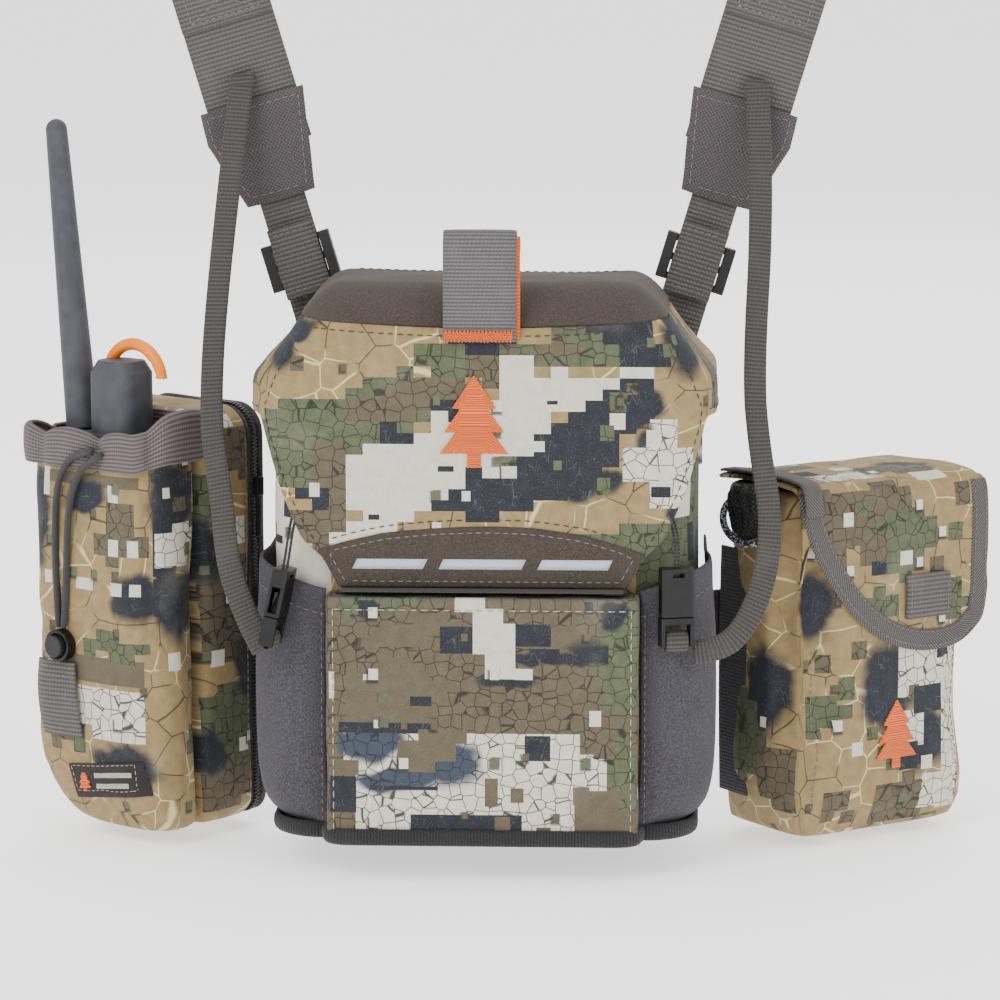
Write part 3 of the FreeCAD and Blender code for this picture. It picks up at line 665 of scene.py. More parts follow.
def felted(name, colour, paler, grain=0.55, bump=0.14, roughness=0.9, sheen=0.06):
    """A smooth bonded cloth whose fine fibres give a two-tone speckle."""
    n = cloth_shader(name, roughness, sheen)
    at = n.place()
    speck = n.noise(at, grain, 3.0)
    cloud = n.noise(at, 24.0, 2.0)
    base = n.mix(n.ramp(speck, 0.38, 0.68), colour, paler)
    base = n.mix(n.math("MULTIPLY", n.ramp(cloud, 0.4, 0.7), 0.18), base, paler)
    thread = n.ribs(n.math("ADD", n.split(at)[0], n.split(at)[1]), 0.8)
    n.bump(n.math("ADD", speck, n.math("MULTIPLY", thread, 0.15)), bump)
    return n.done(base, n.math("MULTIPLY_ADD", speck, 0.15, roughness - 0.1))


def canvas(name, colour, pitch=1.7):
    """Coarse plain weave, its warp and weft a little uneven."""
    n = cloth_shader(name, 0.85, 0.05)
    at = n.uv()
    bent = n.vector("ADD", at, n.scale(n.noise(at, 4.0, 1.0, 1), 0.5))
    weave = n.weave(bent, pitch)
    fibre = n.noise(at, 0.5, 2.0)
    # light and shade are lit and shaded copies of the cloth's colour: painted shade where the weave dips and
    # a painted highlight on the raised fibres.
    light = tuple(min(1.0, c * 1.6) for c in colour[:3]) + (1.0,)
    shade = tuple(c * 0.45 for c in colour[:3]) + (1.0,)
    base = n.mix(n.ramp(weave, 0.25, 0.85), shade, colour)
    base = n.mix(n.math("MULTIPLY", n.ramp(fibre, 0.45, 0.7), 0.35), base, light)
    n.bump(n.math("ADD", weave, n.math("MULTIPLY", fibre, 0.3)), 0.35)
    return n.done(base)


def elastic(name, colour):
    """Ribbed elastic tape: fine cords along its length and tight cross ribs."""
    n = cloth_shader(name, 0.8, 0.1)
    at = n.uv()
    x, y = n.split(at)
    cords = n.ribs(y, 1.5)
    picks = n.ribs(n.math("ADD", x, n.math("MULTIPLY", n.noise(at, 3.0, 1.0), 0.8)), 1.0)
    height = n.math("ADD", n.math("MULTIPLY", cords, 0.7), n.math("MULTIPLY", picks, 0.35))
    # light and shade are lit and shaded copies of the tape's colour: a painted highlight on the cords and
    # ribs, painted shade between them.
    light = tuple(min(1.0, c * 1.5) for c in colour[:3]) + (1.0,)
    shade = tuple(c * 0.55 for c in colour[:3]) + (1.0,)
    base = n.mix(n.ramp(height, 0.1, 0.9), shade, light)
    n.bump(height, 0.35)
    return n.done(base)


def moulded(name, colour, roughness=0.35, grain=0.35, depth=0.03):
    """Moulded plastic with a fine spark-eroded grain, scuffed paler in places."""
    n = Nodes(name, roughness)
    n.shader.inputs["Specular IOR Level"].default_value = 0.3
    at = n.place()
    fine = n.noise(at, grain, 3.0)
    cloud = n.noise(at, 7.0, 3.0)
    scuff = n.ramp(n.noise(n.vector("MULTIPLY", at, (1.0, 1.0, 4.0)), 2.4, 3.0), 0.62, 0.74)
    paler = tuple(min(1.0, c * 1.9 + 0.012) for c in colour[:3]) + (1.0,)
    base = n.mix(n.math("MULTIPLY", n.ramp(cloud, 0.35, 0.7), 0.3), colour, paler)
    base = n.mix(n.math("MULTIPLY", scuff, 0.35), base, paler)
    n.bump(fine, depth)
    rough = n.math("ADD", n.math("MULTIPLY", cloud, 0.18),
                   n.math("MULTIPLY_ADD", scuff, 0.15, roughness - 0.08))
    return n.done(base, rough)


def fleece():
    n = cloth_shader("fleece", 0.95, 0.6)
    at = n.place()
    tuft = n.voronoi(n.vector("ADD", at, n.scale(n.noise(at, 2.0, 2.0, 1), 2.0)), 1.9)
    fuzz = n.noise(at, 0.7, 3.0)
    # Painted light on the pile: tufts pale at their middles with painted shade in the gaps between them, and
    # a painted highlight where the fuzz stands up.
    base = n.mix(n.ramp(tuft, 0.0, 0.8), rgb(124, 118, 110), rgb(74, 70, 66))
    base = n.mix(n.math("MULTIPLY", n.ramp(fuzz, 0.4, 0.7), 0.4), base, rgb(146, 140, 132))
    n.bump(n.math("SUBTRACT", fuzz, tuft), 0.7)
    return n.done(base)


def spacer_mesh():
    """Knitted mesh with rows of small holes over a darker backing, and painted shade in the holes."""
    n = cloth_shader("spacer_mesh", 0.85, 0.3)
    at = n.uv()
    x, y = n.split(at)
    row = n.math("FLOOR", n.math("DIVIDE", y, 2.2))
    shifted = n.joined(n.math("ADD", x, n.math("MULTIPLY", row, 1.25)), y)
    cell = n.vector("SUBTRACT", n.vector("FRACTION", n.vector("DIVIDE", shifted, (2.5, 2.2, 1.0))),
                    (0.5, 0.5, 0.0))
    hole = n.ramp(n.vector("LENGTH", n.vector("MULTIPLY", cell, (1, 1, 0)), output="Value"), 0.2, 0.36)
    knit = n.noise(at, 0.5, 2.0)
    base = n.mix(n.ramp(knit, 0.35, 0.7), rgb(66, 64, 66), rgb(92, 90, 92))
    # The holes are near black: the darker backing seen through them, with painted shade in them.
    base = n.mix(hole, rgb(22, 22, 24), base)
    n.bump(n.math("ADD", hole, n.math("MULTIPLY", knit, 0.2)), 0.7)
    return n.done(base)


def braid(name, colour, fleck=None, pitch=1.5, chance=0.5):
    """Braided sheath: two sets of crossing strands, some of them of the fleck colour."""
    n = cloth_shader(name, 0.6, 0.07)
    at = n.uv()
    x, y = n.split(at)
    left = n.math("ADD", n.math("DIVIDE", y, pitch), n.math("DIVIDE", x, pitch))
    right = n.math("SUBTRACT", n.math("DIVIDE", y, pitch), n.math("DIVIDE", x, pitch))
    wave_a = n.math("SINE", n.math("MULTIPLY", left, math.pi))
    wave_b = n.math("SINE", n.math("MULTIPLY", right, math.pi))
    height = n.math("ABSOLUTE", n.math("MULTIPLY", wave_a, wave_b))
    # shade and light are shaded and lit copies of the sheath's colour: painted shade between strands and a
    # painted highlight on each strand's crown.
    shade = tuple(c * 0.35 for c in colour[:3]) + (1.0,)
    light = tuple(min(1.0, c * 1.7 + 0.01) for c in colour[:3]) + (1.0,)
    base = n.mix(n.ramp(height, 0.0, 0.7), shade, light)
    if fleck is not None:
        strand = n.random(n.joined(n.math("FLOOR", left), n.math("FLOOR", right)))
        bright = n.math("MULTIPLY", n.math("GREATER_THAN", strand, 1.0 - chance), n.ramp(height, 0.1, 0.5))
        base = n.mix(bright, base, fleck)
    n.bump(height, 0.3)
    return n.done(base)


def zip_cloth(name="zip_tape", colour=(0.036, 0.034, 0.036, 1.0)):
    n = cloth_shader(name, 0.8, 0.06)
    at = n.place()
    x, y, = n.split(at)
    weave = n.noise(n.vector("MULTIPLY", at, (1.0, 1.0, 2.5)), 0.7, 2.0)
    cross = n.noise(at, 9.0, 2.0)
    paler = tuple(c * 2.4 for c in colour[:3]) + (1.0,)
    base = n.mix(n.ramp(weave, 0.35, 0.7), colour, paler)
    base = n.mix(n.math("MULTIPLY", n.ramp(cross, 0.45, 0.7), 0.25), base, paler)
    n.bump(n.math("ADD", weave, n.math("MULTIPLY", n.ribs(n.math("ADD", x, y), 0.9), 0.3)), 0.2)
    return n.done(base)


def sewing_thread(name, colour):
    """Twisted thread, with painted shade in its grooves."""
    n = cloth_shader(name, 0.55, 0.1)
    at = n.place()
    twist = n.noise(at, 0.28, 2.0)
    # shade is a shaded copy of the thread's colour, painted into the twist's grooves.
    shade = tuple(c * 0.5 for c in colour[:3]) + (1.0,)
    base = n.mix(n.ramp(twist, 0.3, 0.65), shade, colour)
    n.bump(twist, 0.12)
    return n.done(base)


def satin_stitch(name, colour, pitch=0.75):
    """Embroidery: threads laid side by side, each with a painted highlight and painted shade between them."""
    n = cloth_shader(name, 0.42, 0.12)
    at = n.uv()
    x, y = n.split(at)
    bend = n.math("MULTIPLY", n.noise(at, 5.0, 2.0), 3.0)
    thread = n.ribs(n.math("ADD", n.math("ADD", y, n.math("MULTIPLY", x, 0.55)), bend), pitch)
    # light and shade are lit and shaded copies of the thread colour: a painted highlight on each thread and
    # painted shade between threads.
    light = tuple(min(1.0, c * 1.3 + 0.03) for c in colour[:3]) + (1.0,)
    shade = tuple(c * 0.5 for c in colour[:3]) + (1.0,)
    base = n.mix(n.ramp(thread, 0.05, 0.8), shade, light)
    n.bump(thread, 0.25)
    return n.done(base)


def reflective_print():
    """Faintly cracked pale transfer print."""
    n = Nodes("reflective_print", 0.38)
    at = n.place()
    crack = n.ramp(n.voronoi(at, 0.9, "DISTANCE_TO_EDGE"), 0.0, 0.05)
    grain = n.noise(at, 0.4, 2.0)
    base = n.mix(n.ramp(grain, 0.3, 0.7), rgb(164, 170, 184), rgb(190, 195, 206))
    base = n.mix(n.math("MULTIPLY_ADD", crack, 0.4, 0.6), rgb(120, 122, 130), base)
    n.bump(grain, 0.05)
    return n.done(base)


def metal(name, colour, roughness):
    n = Nodes(name, roughness, Metallic=1.0)
    at = n.place()
    brushed = n.noise(n.vector("MULTIPLY", at, (1.0, 1.0, 12.0)), 1.2, 3.0)
    cloud = n.noise(at, 8.0, 3.0)
    paler = tuple(min(1.0, c * 1.35) for c in colour[:3]) + (1.0,)
    n.bump(brushed, 0.02)
    return n.done(n.mix(n.ramp(cloud, 0.3, 0.7), colour, paler),
                  n.math("MULTIPLY_ADD", brushed, 0.25, roughness - 0.1))


def foam():
    n = Nodes("foam", 0.95)
    at = n.place()
    pore = n.voronoi(at, 0.9)
    # Painted shade in the pores: each pore darker at its middle.
    base = n.mix(n.ramp(pore, 0.1, 0.6), rgb(34, 34, 36), rgb(66, 66, 68))
    n.bump(pore, 0.3)
    return n.done(base)


GREY_WEBBING = webbing("grey_webbing")
DARK_WEBBING = webbing("dark_webbing", rgb(72, 69, 66), 1.7)
BINDING_TAPE = twill("binding_tape", rgb(84, 80, 79))
BASE_TAPE = webbing("base_tape", rgb(42, 40, 41), 1.3)
SOFT_LID = felted("softshell", rgb(52, 45, 40), rgb(74, 66, 59))
STRETCH_CLOTH = felted("stretch_fabric", rgb(52, 50, 55), rgb(76, 74, 80), 0.7, 0.1)
BACK_CLOTH = felted("back_cloth", rgb(56, 52, 54), rgb(78, 73, 75), 0.8, 0.2)
PATCH_CANVAS = canvas("patch_canvas", rgb(86, 80, 82))
ELASTIC = elastic("elastic_band", rgb(90, 81, 82))
BLACK_PLASTIC = moulded("black_plastic", rgb(7, 7, 8), 0.34)
DARK_PLASTIC = moulded("dark_plastic", rgb(28, 27, 29), 0.45)
RADIO_RUBBER = moulded("radio_rubber", rgb(60, 61, 66), 0.55, 0.5, 0.05)
ORANGE_PLASTIC = moulded("orange_plastic", rgb(244, 126, 12), 0.32)
FLEECE = fleece()
MESH = spacer_mesh()
BLACK_BRAID = braid("black_braid", rgb(48, 46, 48))
BUNGEE_BRAID = braid("bungee_braid", rgb(52, 51, 53), pitch=1.0)
HANK_BRAID = braid("hank_braid", rgb(24, 24, 26), rgb(60, 60, 64), 2.0, 0.3)
FLECKED_BRAID = braid("flecked_braid", rgb(30, 30, 36), rgb(196, 200, 214), 1.1, 0.42)
ZIP_CLOTH = zip_cloth()
ZIP_TEETH = moulded("zip_teeth", rgb(34, 34, 37), 0.35, 0.3, 0.02)
PALE_THREAD = sewing_thread("pale_thread", rgb(178, 172, 152))
GREY_THREAD = sewing_thread("grey_thread", rgb(128, 122, 116))
DARK_THREAD = sewing_thread("dark_thread", rgb(56, 54, 48))
ORANGE_THREAD = satin_stitch("orange_thread", ORANGE)
ORANGE_CLOTH = webbing("orange_cloth", rgb(230, 100, 20), 1.4, 0.6)
PRINT = reflective_print()
MAGNET_METAL = metal("magnet_metal", rgb(150, 150, 152), 0.35)
RING_METAL = metal("ring_metal", rgb(52, 52, 56), 0.4)
FOAM = foam()


# ---- camera, lights and floor ----
def make_stage():
    aim = Vector((5.2, -50.0, 25.0)) * MM
    azimuth, elevation, distance = math.radians(2.5), math.radians(9.0), 1.8
    away = Vector((math.sin(azimuth) * math.cos(elevation), -math.cos(azimuth) * math.cos(elevation),
                   math.sin(elevation)))
    data = bpy.data.cameras.new("camera")
    data.lens = 154.2
    data.sensor_width = 36.0
    data.clip_end = 60.0
    camera = bpy.data.objects.new("camera", data)
    camera.location = aim + away * distance
    camera.rotation_euler = (-away).to_track_quat("-Z", "Y").to_euler()
    bpy.context.scene.collection.objects.link(camera)
    bpy.context.scene.camera = camera

    for name, place, size, power in (("key", (-1.3, -2.1, 2.0), 1.6, 44), ("fill", (1.9, -1.9, 0.9), 1.8, 16),
                                     ("top", (0.0, 0.3, 2.4), 2.0, 22), ("rear", (0.4, 2.3, 1.4), 1.8, 16)):
        lamp = bpy.data.lights.new(name, "AREA")
        lamp.shape = "DISK"
        lamp.size = size
        lamp.energy = power
        light = bpy.data.objects.new(name, lamp)
        light.location = place
        light.rotation_euler = (Vector(place) - aim).to_track_quat("Z", "Y").to_euler()
        bpy.context.scene.collection.objects.link(light)

    world = bpy.data.worlds.new("studio")
    world.use_nodes = True
    sky = world.node_tree.nodes["Background"]
    sky.inputs["Color"].default_value = (1.0, 1.0, 1.0, 1.0)
    sky.inputs["Strength"].default_value = 1.15
    bpy.context.scene.world = world

    floor_gap, floor_radius = 0.5, 14000
    floor_z = min(c[2] for c in cad_box) / MM - floor_gap
    ring = [(floor_radius * math.cos(a), floor_radius * math.sin(a), floor_z)
            for a in (2 * math.pi * i / 64 for i in range(64))]
    floor = make_piece("floor", ring, [tuple(range(64))])
    n = Nodes("pale_floor", 0.7)
    n.shader.inputs["Emission Color"].default_value = (1.0, 1.0, 1.0, 1.0)
    n.shader.inputs["Emission Strength"].default_value = 0.9
    floor.data.materials.append(n.done(n.mix(n.noise(n.place(), 300.0), rgb(250, 250, 250),
                                             rgb(252, 252, 252))))


# ---- cords ----
def centreline(name, route):
    """Points in metres along the smooth line that has the route as its control points."""
    curve = bpy.data.curves.new(name + "_line", "CURVE")
    curve.dimensions = "3D"
    curve.resolution_u = 24
    spline = curve.splines.new("NURBS")
    spline.points.add(len(route) - 1)
    for point, place in zip(spline.points, route):
        point.co = (*place, 1.0)
    spline.order_u = 3
    spline.use_endpoint_u = True
    holder = bpy.data.objects.new(name + "_line", curve)
    mesh = bpy.data.meshes.new_from_object(holder)
    line = [v.co.copy() for v in mesh.vertices]
    bpy.data.objects.remove(holder)
    return line


def frames_along(line, side):
    """For each point: the line's direction, a side direction kept near side, and their normal."""
    frames = []
    for i, p in enumerate(line):
        ahead = line[min(i + 1, len(line) - 1)] - line[max(i - 1, 0)]
        ahead.normalize()
        across = side - ahead * side.dot(ahead)
        across.normalize()
        frames.append((p, ahead, across, ahead.cross(across)))
        side = across
    return frames


def tube(name, line, radius, sides=12):
    """A closed round tube in metres, with UVs round and along it."""
    line = even_line(line, radius * 1.2)
    rows, uvs = [], []
    along = 0.0
    start = line[1] - line[0]
    side = (Vector((0, 0, 1)).cross(start) if abs(start.normalized().z) < 0.9
            else Vector((1, 0, 0)).cross(start))
    frames = frames_along(line, side.normalized())
    last = line[0]
    for i, (p, _, across, up) in enumerate(frames):
        along += (p - last).length
        last = p
        end = 0.55 if i in (0, len(frames) - 1) else 1.0
        ring = [p + (across * math.cos(2 * math.pi * k / sides) + up * math.sin(2 * math.pi * k / sides))
                * radius * end for k in range(sides + 1)]
        rows.append([q / MM for q in ring])
        uvs.append([(2 * math.pi * radius * k / sides, along) for k in range(sides + 1)])
    piece = grid_piece(name, rows, uvs=uvs)
    return close_ends(piece)


def close_ends(piece):
    """Weld the seam of a swept piece and fill the holes at its two ends."""
    shape = bmesh.new()
    shape.from_mesh(piece.data)
    bmesh.ops.remove_doubles(shape, verts=shape.verts, dist=1e-6)
    rims = [e for e in shape.edges if e.is_boundary]
    bmesh.ops.holes_fill(shape, edges=rims, sides=0)
    bmesh.ops.recalc_face_normals(shape, faces=shape.faces)
    shape.to_mesh(piece.data)
    shape.free()
    for polygon in piece.data.polygons:
        polygon.use_smooth = True
    return piece


def strap_section(width, thick):
    """A flat strap's cross-section: rounded edges and slightly crowned faces."""
    half, low = width / 2, thick / 2
    upper = [(-half + 0.3, low * 0.75), (-half * 0.6, low), (0, low), (half * 0.6, low),
             (half - 0.3, low * 0.75)]
    lower = [(-x, -y) for x, y in upper]
    return upper + [(half, 0.0)] + lower + [(-half, 0.0)]


def ribbon(name, line, width, thick, normal=None, twist=None, spacing=2.0, across=None):
    """A flat strap in metres along a line. Either normal(t) is its face's direction, or across
    stays its width's direction. twist(t) turns it."""
    level = across
    line = even_line(line, spacing * MM)
    section = strap_section(width, thick)
    rows, uvs = [], []
    around = [0.0]
    for a, b in zip(section, section[1:] + section[:1]):
        around.append(around[-1] + math.dist(a, b))
    for i, p in enumerate(line):
        t = i / (len(line) - 1)
        ahead = (line[min(i + 1, len(line) - 1)] - line[max(i - 1, 0)]).normalized()
        across = level if level is not None else ahead.cross(normal(t)).normalized()
        face = across.cross(ahead).normalized()
        if twist is not None:
            turn = Matrix.Rotation(twist(t), 3, ahead)
            across, face = turn @ across, turn @ face
        ring = [p / MM + across * x + face * y for x, y in section]
        rows.append(ring + ring[:1])
        uvs.append([(s * MM, i * spacing * MM) for s in around])
    return close_ends(grid_piece(name, rows, uvs=uvs))


TETHER_FACE = Vector((0.0, -0.942, 0.336))


def make_tether(name, route, turn):
    """A tether strap: flat webbing from its seam at the shoulder to the buckle plug's bar."""
    line = centreline(name, route)
    strap = ribbon(name, line, 10.0, 1.5, lambda t: TETHER_FACE, lambda t: turn * math.sin(t * math.pi), 1.5)
    finish_piece(strap, DARK_WEBBING, "pack", ["tether_straps"])
    return strap


def make_round_cord(name, route, diameter, material, body, node):
    line = centreline(name, route)
    piece = tube(name, line, diameter / 2)
    if isinstance(body, tuple):
        piece.data.materials.append(material)
        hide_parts(node)
        route[0]
        route[-1]
        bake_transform(piece)
    else:
        finish_piece(piece, material, body, [node])
    tuple(route[0])
    return piece


def beside(route, shift):
    return [(x + shift, y, z) for x, y, z in route]


def make_cords():
    make_tether("left_tether",
                [(-0.1056, -0.0142, 0.1986), (-0.1120, -0.0367, 0.1366), (-0.1162, -0.0620, 0.0640),
                 (-0.1094, -0.0750, 0.0290), (-0.1064, -0.0840, 0.0030), (-0.0985, -0.0914, -0.0170),
                 (-0.0905, -0.0964, -0.0310)],
                0.25)
    make_tether("right_tether",
                [(0.1120, -0.0146, 0.1966), (0.1148, -0.0310, 0.1520), (0.1108, -0.0570, 0.0790),
                 (0.1134, -0.0670, 0.0510), (0.1186, -0.0770, 0.0230), (0.1166, -0.0850, 0.0000),
                 (0.1090, -0.0920, -0.0190), (0.0986, -0.0960, -0.0296), (0.0866, -0.0966, -0.0304)],
                -0.35)
    thin_left = [(-0.0811, -0.0976, 0.0036), (-0.0798, -0.0954, 0.0120), (-0.0790, -0.0910, 0.0200),
                 (-0.0764, -0.0889, 0.0290), (-0.0760, -0.0886, 0.0370)]
    thin_right = [(0.0796, -0.0982, 0.0050), (0.0800, -0.0964, 0.0115), (0.0790, -0.0916, 0.0195),
                  (0.0758, -0.0891, 0.0285), (0.0754, -0.0887, 0.0370)]
    for which, shift in (("a", -0.0008), ("b", 0.0008)):
        make_round_cord("left_thin_cord_" + which, beside(thin_left, shift), 0.0011, BLACK_BRAID,
                        ("left_cup", "pack"), "left_thin_cords")
        make_round_cord("right_thin_cord_" + which, beside(thin_right, shift), 0.0011, BLACK_BRAID,
                        ("right_cup", "pack"), "right_thin_cords")
    make_round_cord("bungee_left", [(-0.1665, -0.0486, 0.0445), (-0.1712, -0.0457, 0.0435),
                                    (-0.1782, -0.0410, 0.0400), (-0.1835, -0.0372, 0.0300),
                                    (-0.1854, -0.0348, 0.0140), (-0.1854, -0.0345, -0.0120),
                                    (-0.1842, -0.0366, -0.0334)],
                    0.003, BUNGEE_BRAID, "pack", "bungee_cord")
    make_round_cord("bungee_right", [(-0.1624, -0.0515, 0.0435), (-0.1668, -0.0491, 0.0410),
                                     (-0.1743, -0.0441, 0.0340), (-0.1789, -0.0402, 0.0180),
                                     (-0.1801, -0.0384, -0.0040), (-0.1806, -0.0385, -0.0220),
                                     (-0.1818, -0.0384, -0.0336)],
                    0.003, BUNGEE_BRAID, "pack", "bungee_cord")
    make_round_cord("reflective_cord", [(0.1201, -0.0434, 0.0130), (0.1192, -0.0478, 0.0105),
                                        (0.1142, -0.0465, 0.0075), (0.1094, -0.0401, 0.0050),
                                        (0.1041, -0.0328, 0.0055), (0.0995, -0.0269, 0.0100),
                                        (0.0988, -0.0243, 0.0165), (0.1020, -0.0237, 0.0220),
                                        (0.1076, -0.0254, 0.0235)],
                    0.0032, FLECKED_BRAID, "pack", "reflective_loop")


# ---- sewing ----
def stitch_run(points, surface, stitch=2.6, gap=1.1, thick=0.5, lift=0.1):
    """Rings of points for a dashed line of thread that lies on a surface. points are in mm."""
    line = even_line(points, 0.6)
    period = stitch + gap
    total = 0.6 * (len(line) - 1)
    rows = []
    for k in range(int(total / period)):
        ring_set = []
        for t, size in ((0.0, 0.35), (0.18, 0.85), (0.5, 1.0), (0.82, 0.85), (1.0, 0.35)):
            index = min((k * period + stitch * t) / 0.6, len(line) - 1.001)
            i = int(index)
            p = line[i].lerp(line[i + 1], index - i)
            ahead = (line[i + 1] - line[i]).normalized()
            place, normal, _, _ = surface.find_nearest(p * MM)
            if normal.dot(p * MM - place) < 0 and (p * MM - place).length > 0.0002:
                normal = -normal
            across = ahead.cross(normal).normalized()
            centre = place / MM + normal * (lift + thick * 0.35 * size - 0.15 * (1 - size))
            ring_set.append([centre + (across * math.cos(a) + normal * math.sin(a) * 0.7) * thick / 2 * size
                             for a in (math.pi * 2 * j / 6 for j in range(6))])
        rows.append(ring_set)
    return rows


def sew(name, runs, material, body, slot="orange_trim", **sizes):
    """One piece holding several dashed seams. runs are (points in mm, surface)."""
    points, faces = [], []
    for line, surface in runs:
        for rings in stitch_run(line, surface, **sizes):
            first = len(points)
            for ring in rings:
                points += ring
            for i in range(len(rings) - 1):
                for j in range(6):
                    k = (j + 1) % 6
                    faces.append((first + i * 6 + j, first + i * 6 + k, first + (i + 1) * 6 + k,
                                  first + (i + 1) * 6 + j))
            faces.append(tuple(first + j for j in reversed(range(6))))
            faces.append(tuple(first + (len(rings) - 1) * 6 + j for j in range(6)))
    return finish_piece(make_piece(name, points, faces), material, body)


def small_blocks(name, blocks, material, body, replaced=(), round_off=0.25):
    """Many small bevelled blocks as one piece. A block is its centre, three half sizes and a matrix."""
    points, faces = [], []
    for centre, half, turn in blocks:
        first = len(points)
        for sx in (-1, 1):
            for sy in (-1, 1):
                for sz in (-1, 1):
                    points.append(Vector(centre) + turn @ Vector((sx * half[0], sy * half[1], sz * half[2])))
        for face in ((0, 1, 3, 2), (4, 6, 7, 5), (0, 4, 5, 1), (2, 3, 7, 6), (0, 2, 6, 4), (1, 5, 7, 3)):
            faces.append(tuple(first + i for i in face))
    piece = settle(soften_edges(make_piece(name, points, faces), round_off, 2))
    return finish_piece(piece, material, body, replaced)


def turned_to(ahead, up):
    """A rotation whose X is ahead and whose Z is near up."""
    x = Vector(ahead).normalized()
    y = Vector(up).cross(x).normalized()
    return Matrix((x, y, x.cross(y))).transposed()


def coil_teeth(line, up, pitch=1.5, width=2.0, height=1.1):
    """Blocks for a zip's teeth along a line: two interlocked rows."""
    blocks = []
    points = even_line(line, pitch / 2)
    for i in range(1, len(points) - 1):
        ahead = (points[i + 1] - points[i - 1]).normalized()
        turn = turned_to(ahead, up(points[i]) if callable(up) else up)
        shift = turn @ Vector((0, (1 if i % 2 else -1) * width * 0.28, 0))
        blocks.append((points[i] + shift, (pitch * 0.3, width * 0.38, height / 2), turn))
    return blocks


# ---- the binocular compartment ----
def shell_outline(inset, half=SHELL_HALF, front=SHELL_FRONT):
    return rounded_outline(-half + inset, half - inset, front + inset, -8.0 - inset, 24 - inset,
                           12 - inset, 8, 20, 10)


def make_shell():
    camo_sides = camo("camo_body", [
        ("step:green", [(105, 20, 48, 62), (75, 52, 20, 24), (150, 40, 40, 60)]),
        ("step:white", [(-88, 8, 27, 34), (-120, 20, 20, 26), (84, 38, 7, 16), (98, 66, 9, 9)]),
        ("step:brown", [(-128, 66, 34, 18), (118, -26, 22, 16), (-165, 0, 30, 40)]),
        ("box:slate", [(-100, 26, 3.4, 10), (-92, 12, 5, 1.7), (-84, 30, 2.4, 8), (-110, 44, 3, 6),
                       (-97, 55, 4, 5), (70, 20, 4, 5), (92, 12, 3, 8)]),
        ("soft:slate", [(-84, -14, 12, 8), (112, 8, 14, 12), (-130, -30, 26, 16)]),
    ], 1.0)
    levels = []
    for z, inset, half, front in levels_between([(-106, 0.4, SHELL_HALF, SHELL_FRONT),
                                                 (62, 0, SHELL_HALF, SHELL_FRONT), (94, 0.2, 72.6, -84.3)],
                                                 7.0):
        levels.append((z, shell_outline(inset, half, front)))
    for z, inset in ((96.2, 1.0), (97.2, 2.8), (96.6, 4.8), (93.5, 5.4), (88.0, 5.6)):
        levels.append((z, shell_outline(inset, 72, -84)))
    shell = loft_piece("shell_cover", levels)
    ripple(shell, 1.6, 38.0, 2.0, lambda p: smooth_step(90 - p.z, 0, 30) * smooth_step(p.z + 104, 0, 20))
    thicken(shell, 1.6)
    subdivide(shell)
    settle(shell)
    for v in shell.data.vertices:
        v.co.x = narrow_foot(v.co.x, v.co.z / MM)
    finish_piece(shell, camo_sides, "pack", ["main_shell"])

    levels = [(-99.8, shell_outline(14)), (-101.2, shell_outline(9)), (-98, shell_outline(6.6))]
    for z, inset, half, front in levels_between([(-92, 6.2, SHELL_HALF, SHELL_FRONT),
                                                 (60, 6.2, SHELL_HALF, SHELL_FRONT), (91, 6.6, 73.5, -84.4)],
                                                 9.0):
        levels.append((z, shell_outline(inset, half, front)))
    lining = loft_piece("lining", [(levels[0][0], shell_outline(22))] + levels, close_bottom=True)
    ripple(lining, 1.2, 24.0, 7.0)
    thicken(lining, 0.9)
    settle(subdivide(lining))
    for v in lining.data.vertices:
        v.co.x = narrow_foot(v.co.x, v.co.z / MM)
    finish_piece(lining, FLEECE, "pack", ["fleece_lining"])
    rim = [(x, y, 90.0) for x, y in shell_outline(0, 74.2, -84.8)]
    sew("shell_rim_stitching", [(rim, tree_of(shell))], PALE_THREAD, "pack")
    return shell


# ---- side pockets ----
def narrow_foot(x, z):
    """The pack draws in towards its foot."""
    tuck = min(max((-76 - z) / 32.0, 0.0), 1.0)
    return x * (1 - 0.075 * (1 - math.sqrt(1 - tuck * tuck)))


def side_path(inset):
    """A side pocket's way round, seen from above: front edge, corner, then back along the side."""
    r = 26.0
    half, front = 95.0 - inset, -92.0 + inset
    path = [(64.9 + k * (half - r - 64.9) / 2, front) for k in range(3)]
    path += [(half - r + r * math.sin(a), front + r - r * math.cos(a))
             for a in (math.pi / 2 * k / 9 for k in range(1, 10))]
    return path + [(half, front + r + (-12 - front - r) * k / 8) for k in range(1, 9)]


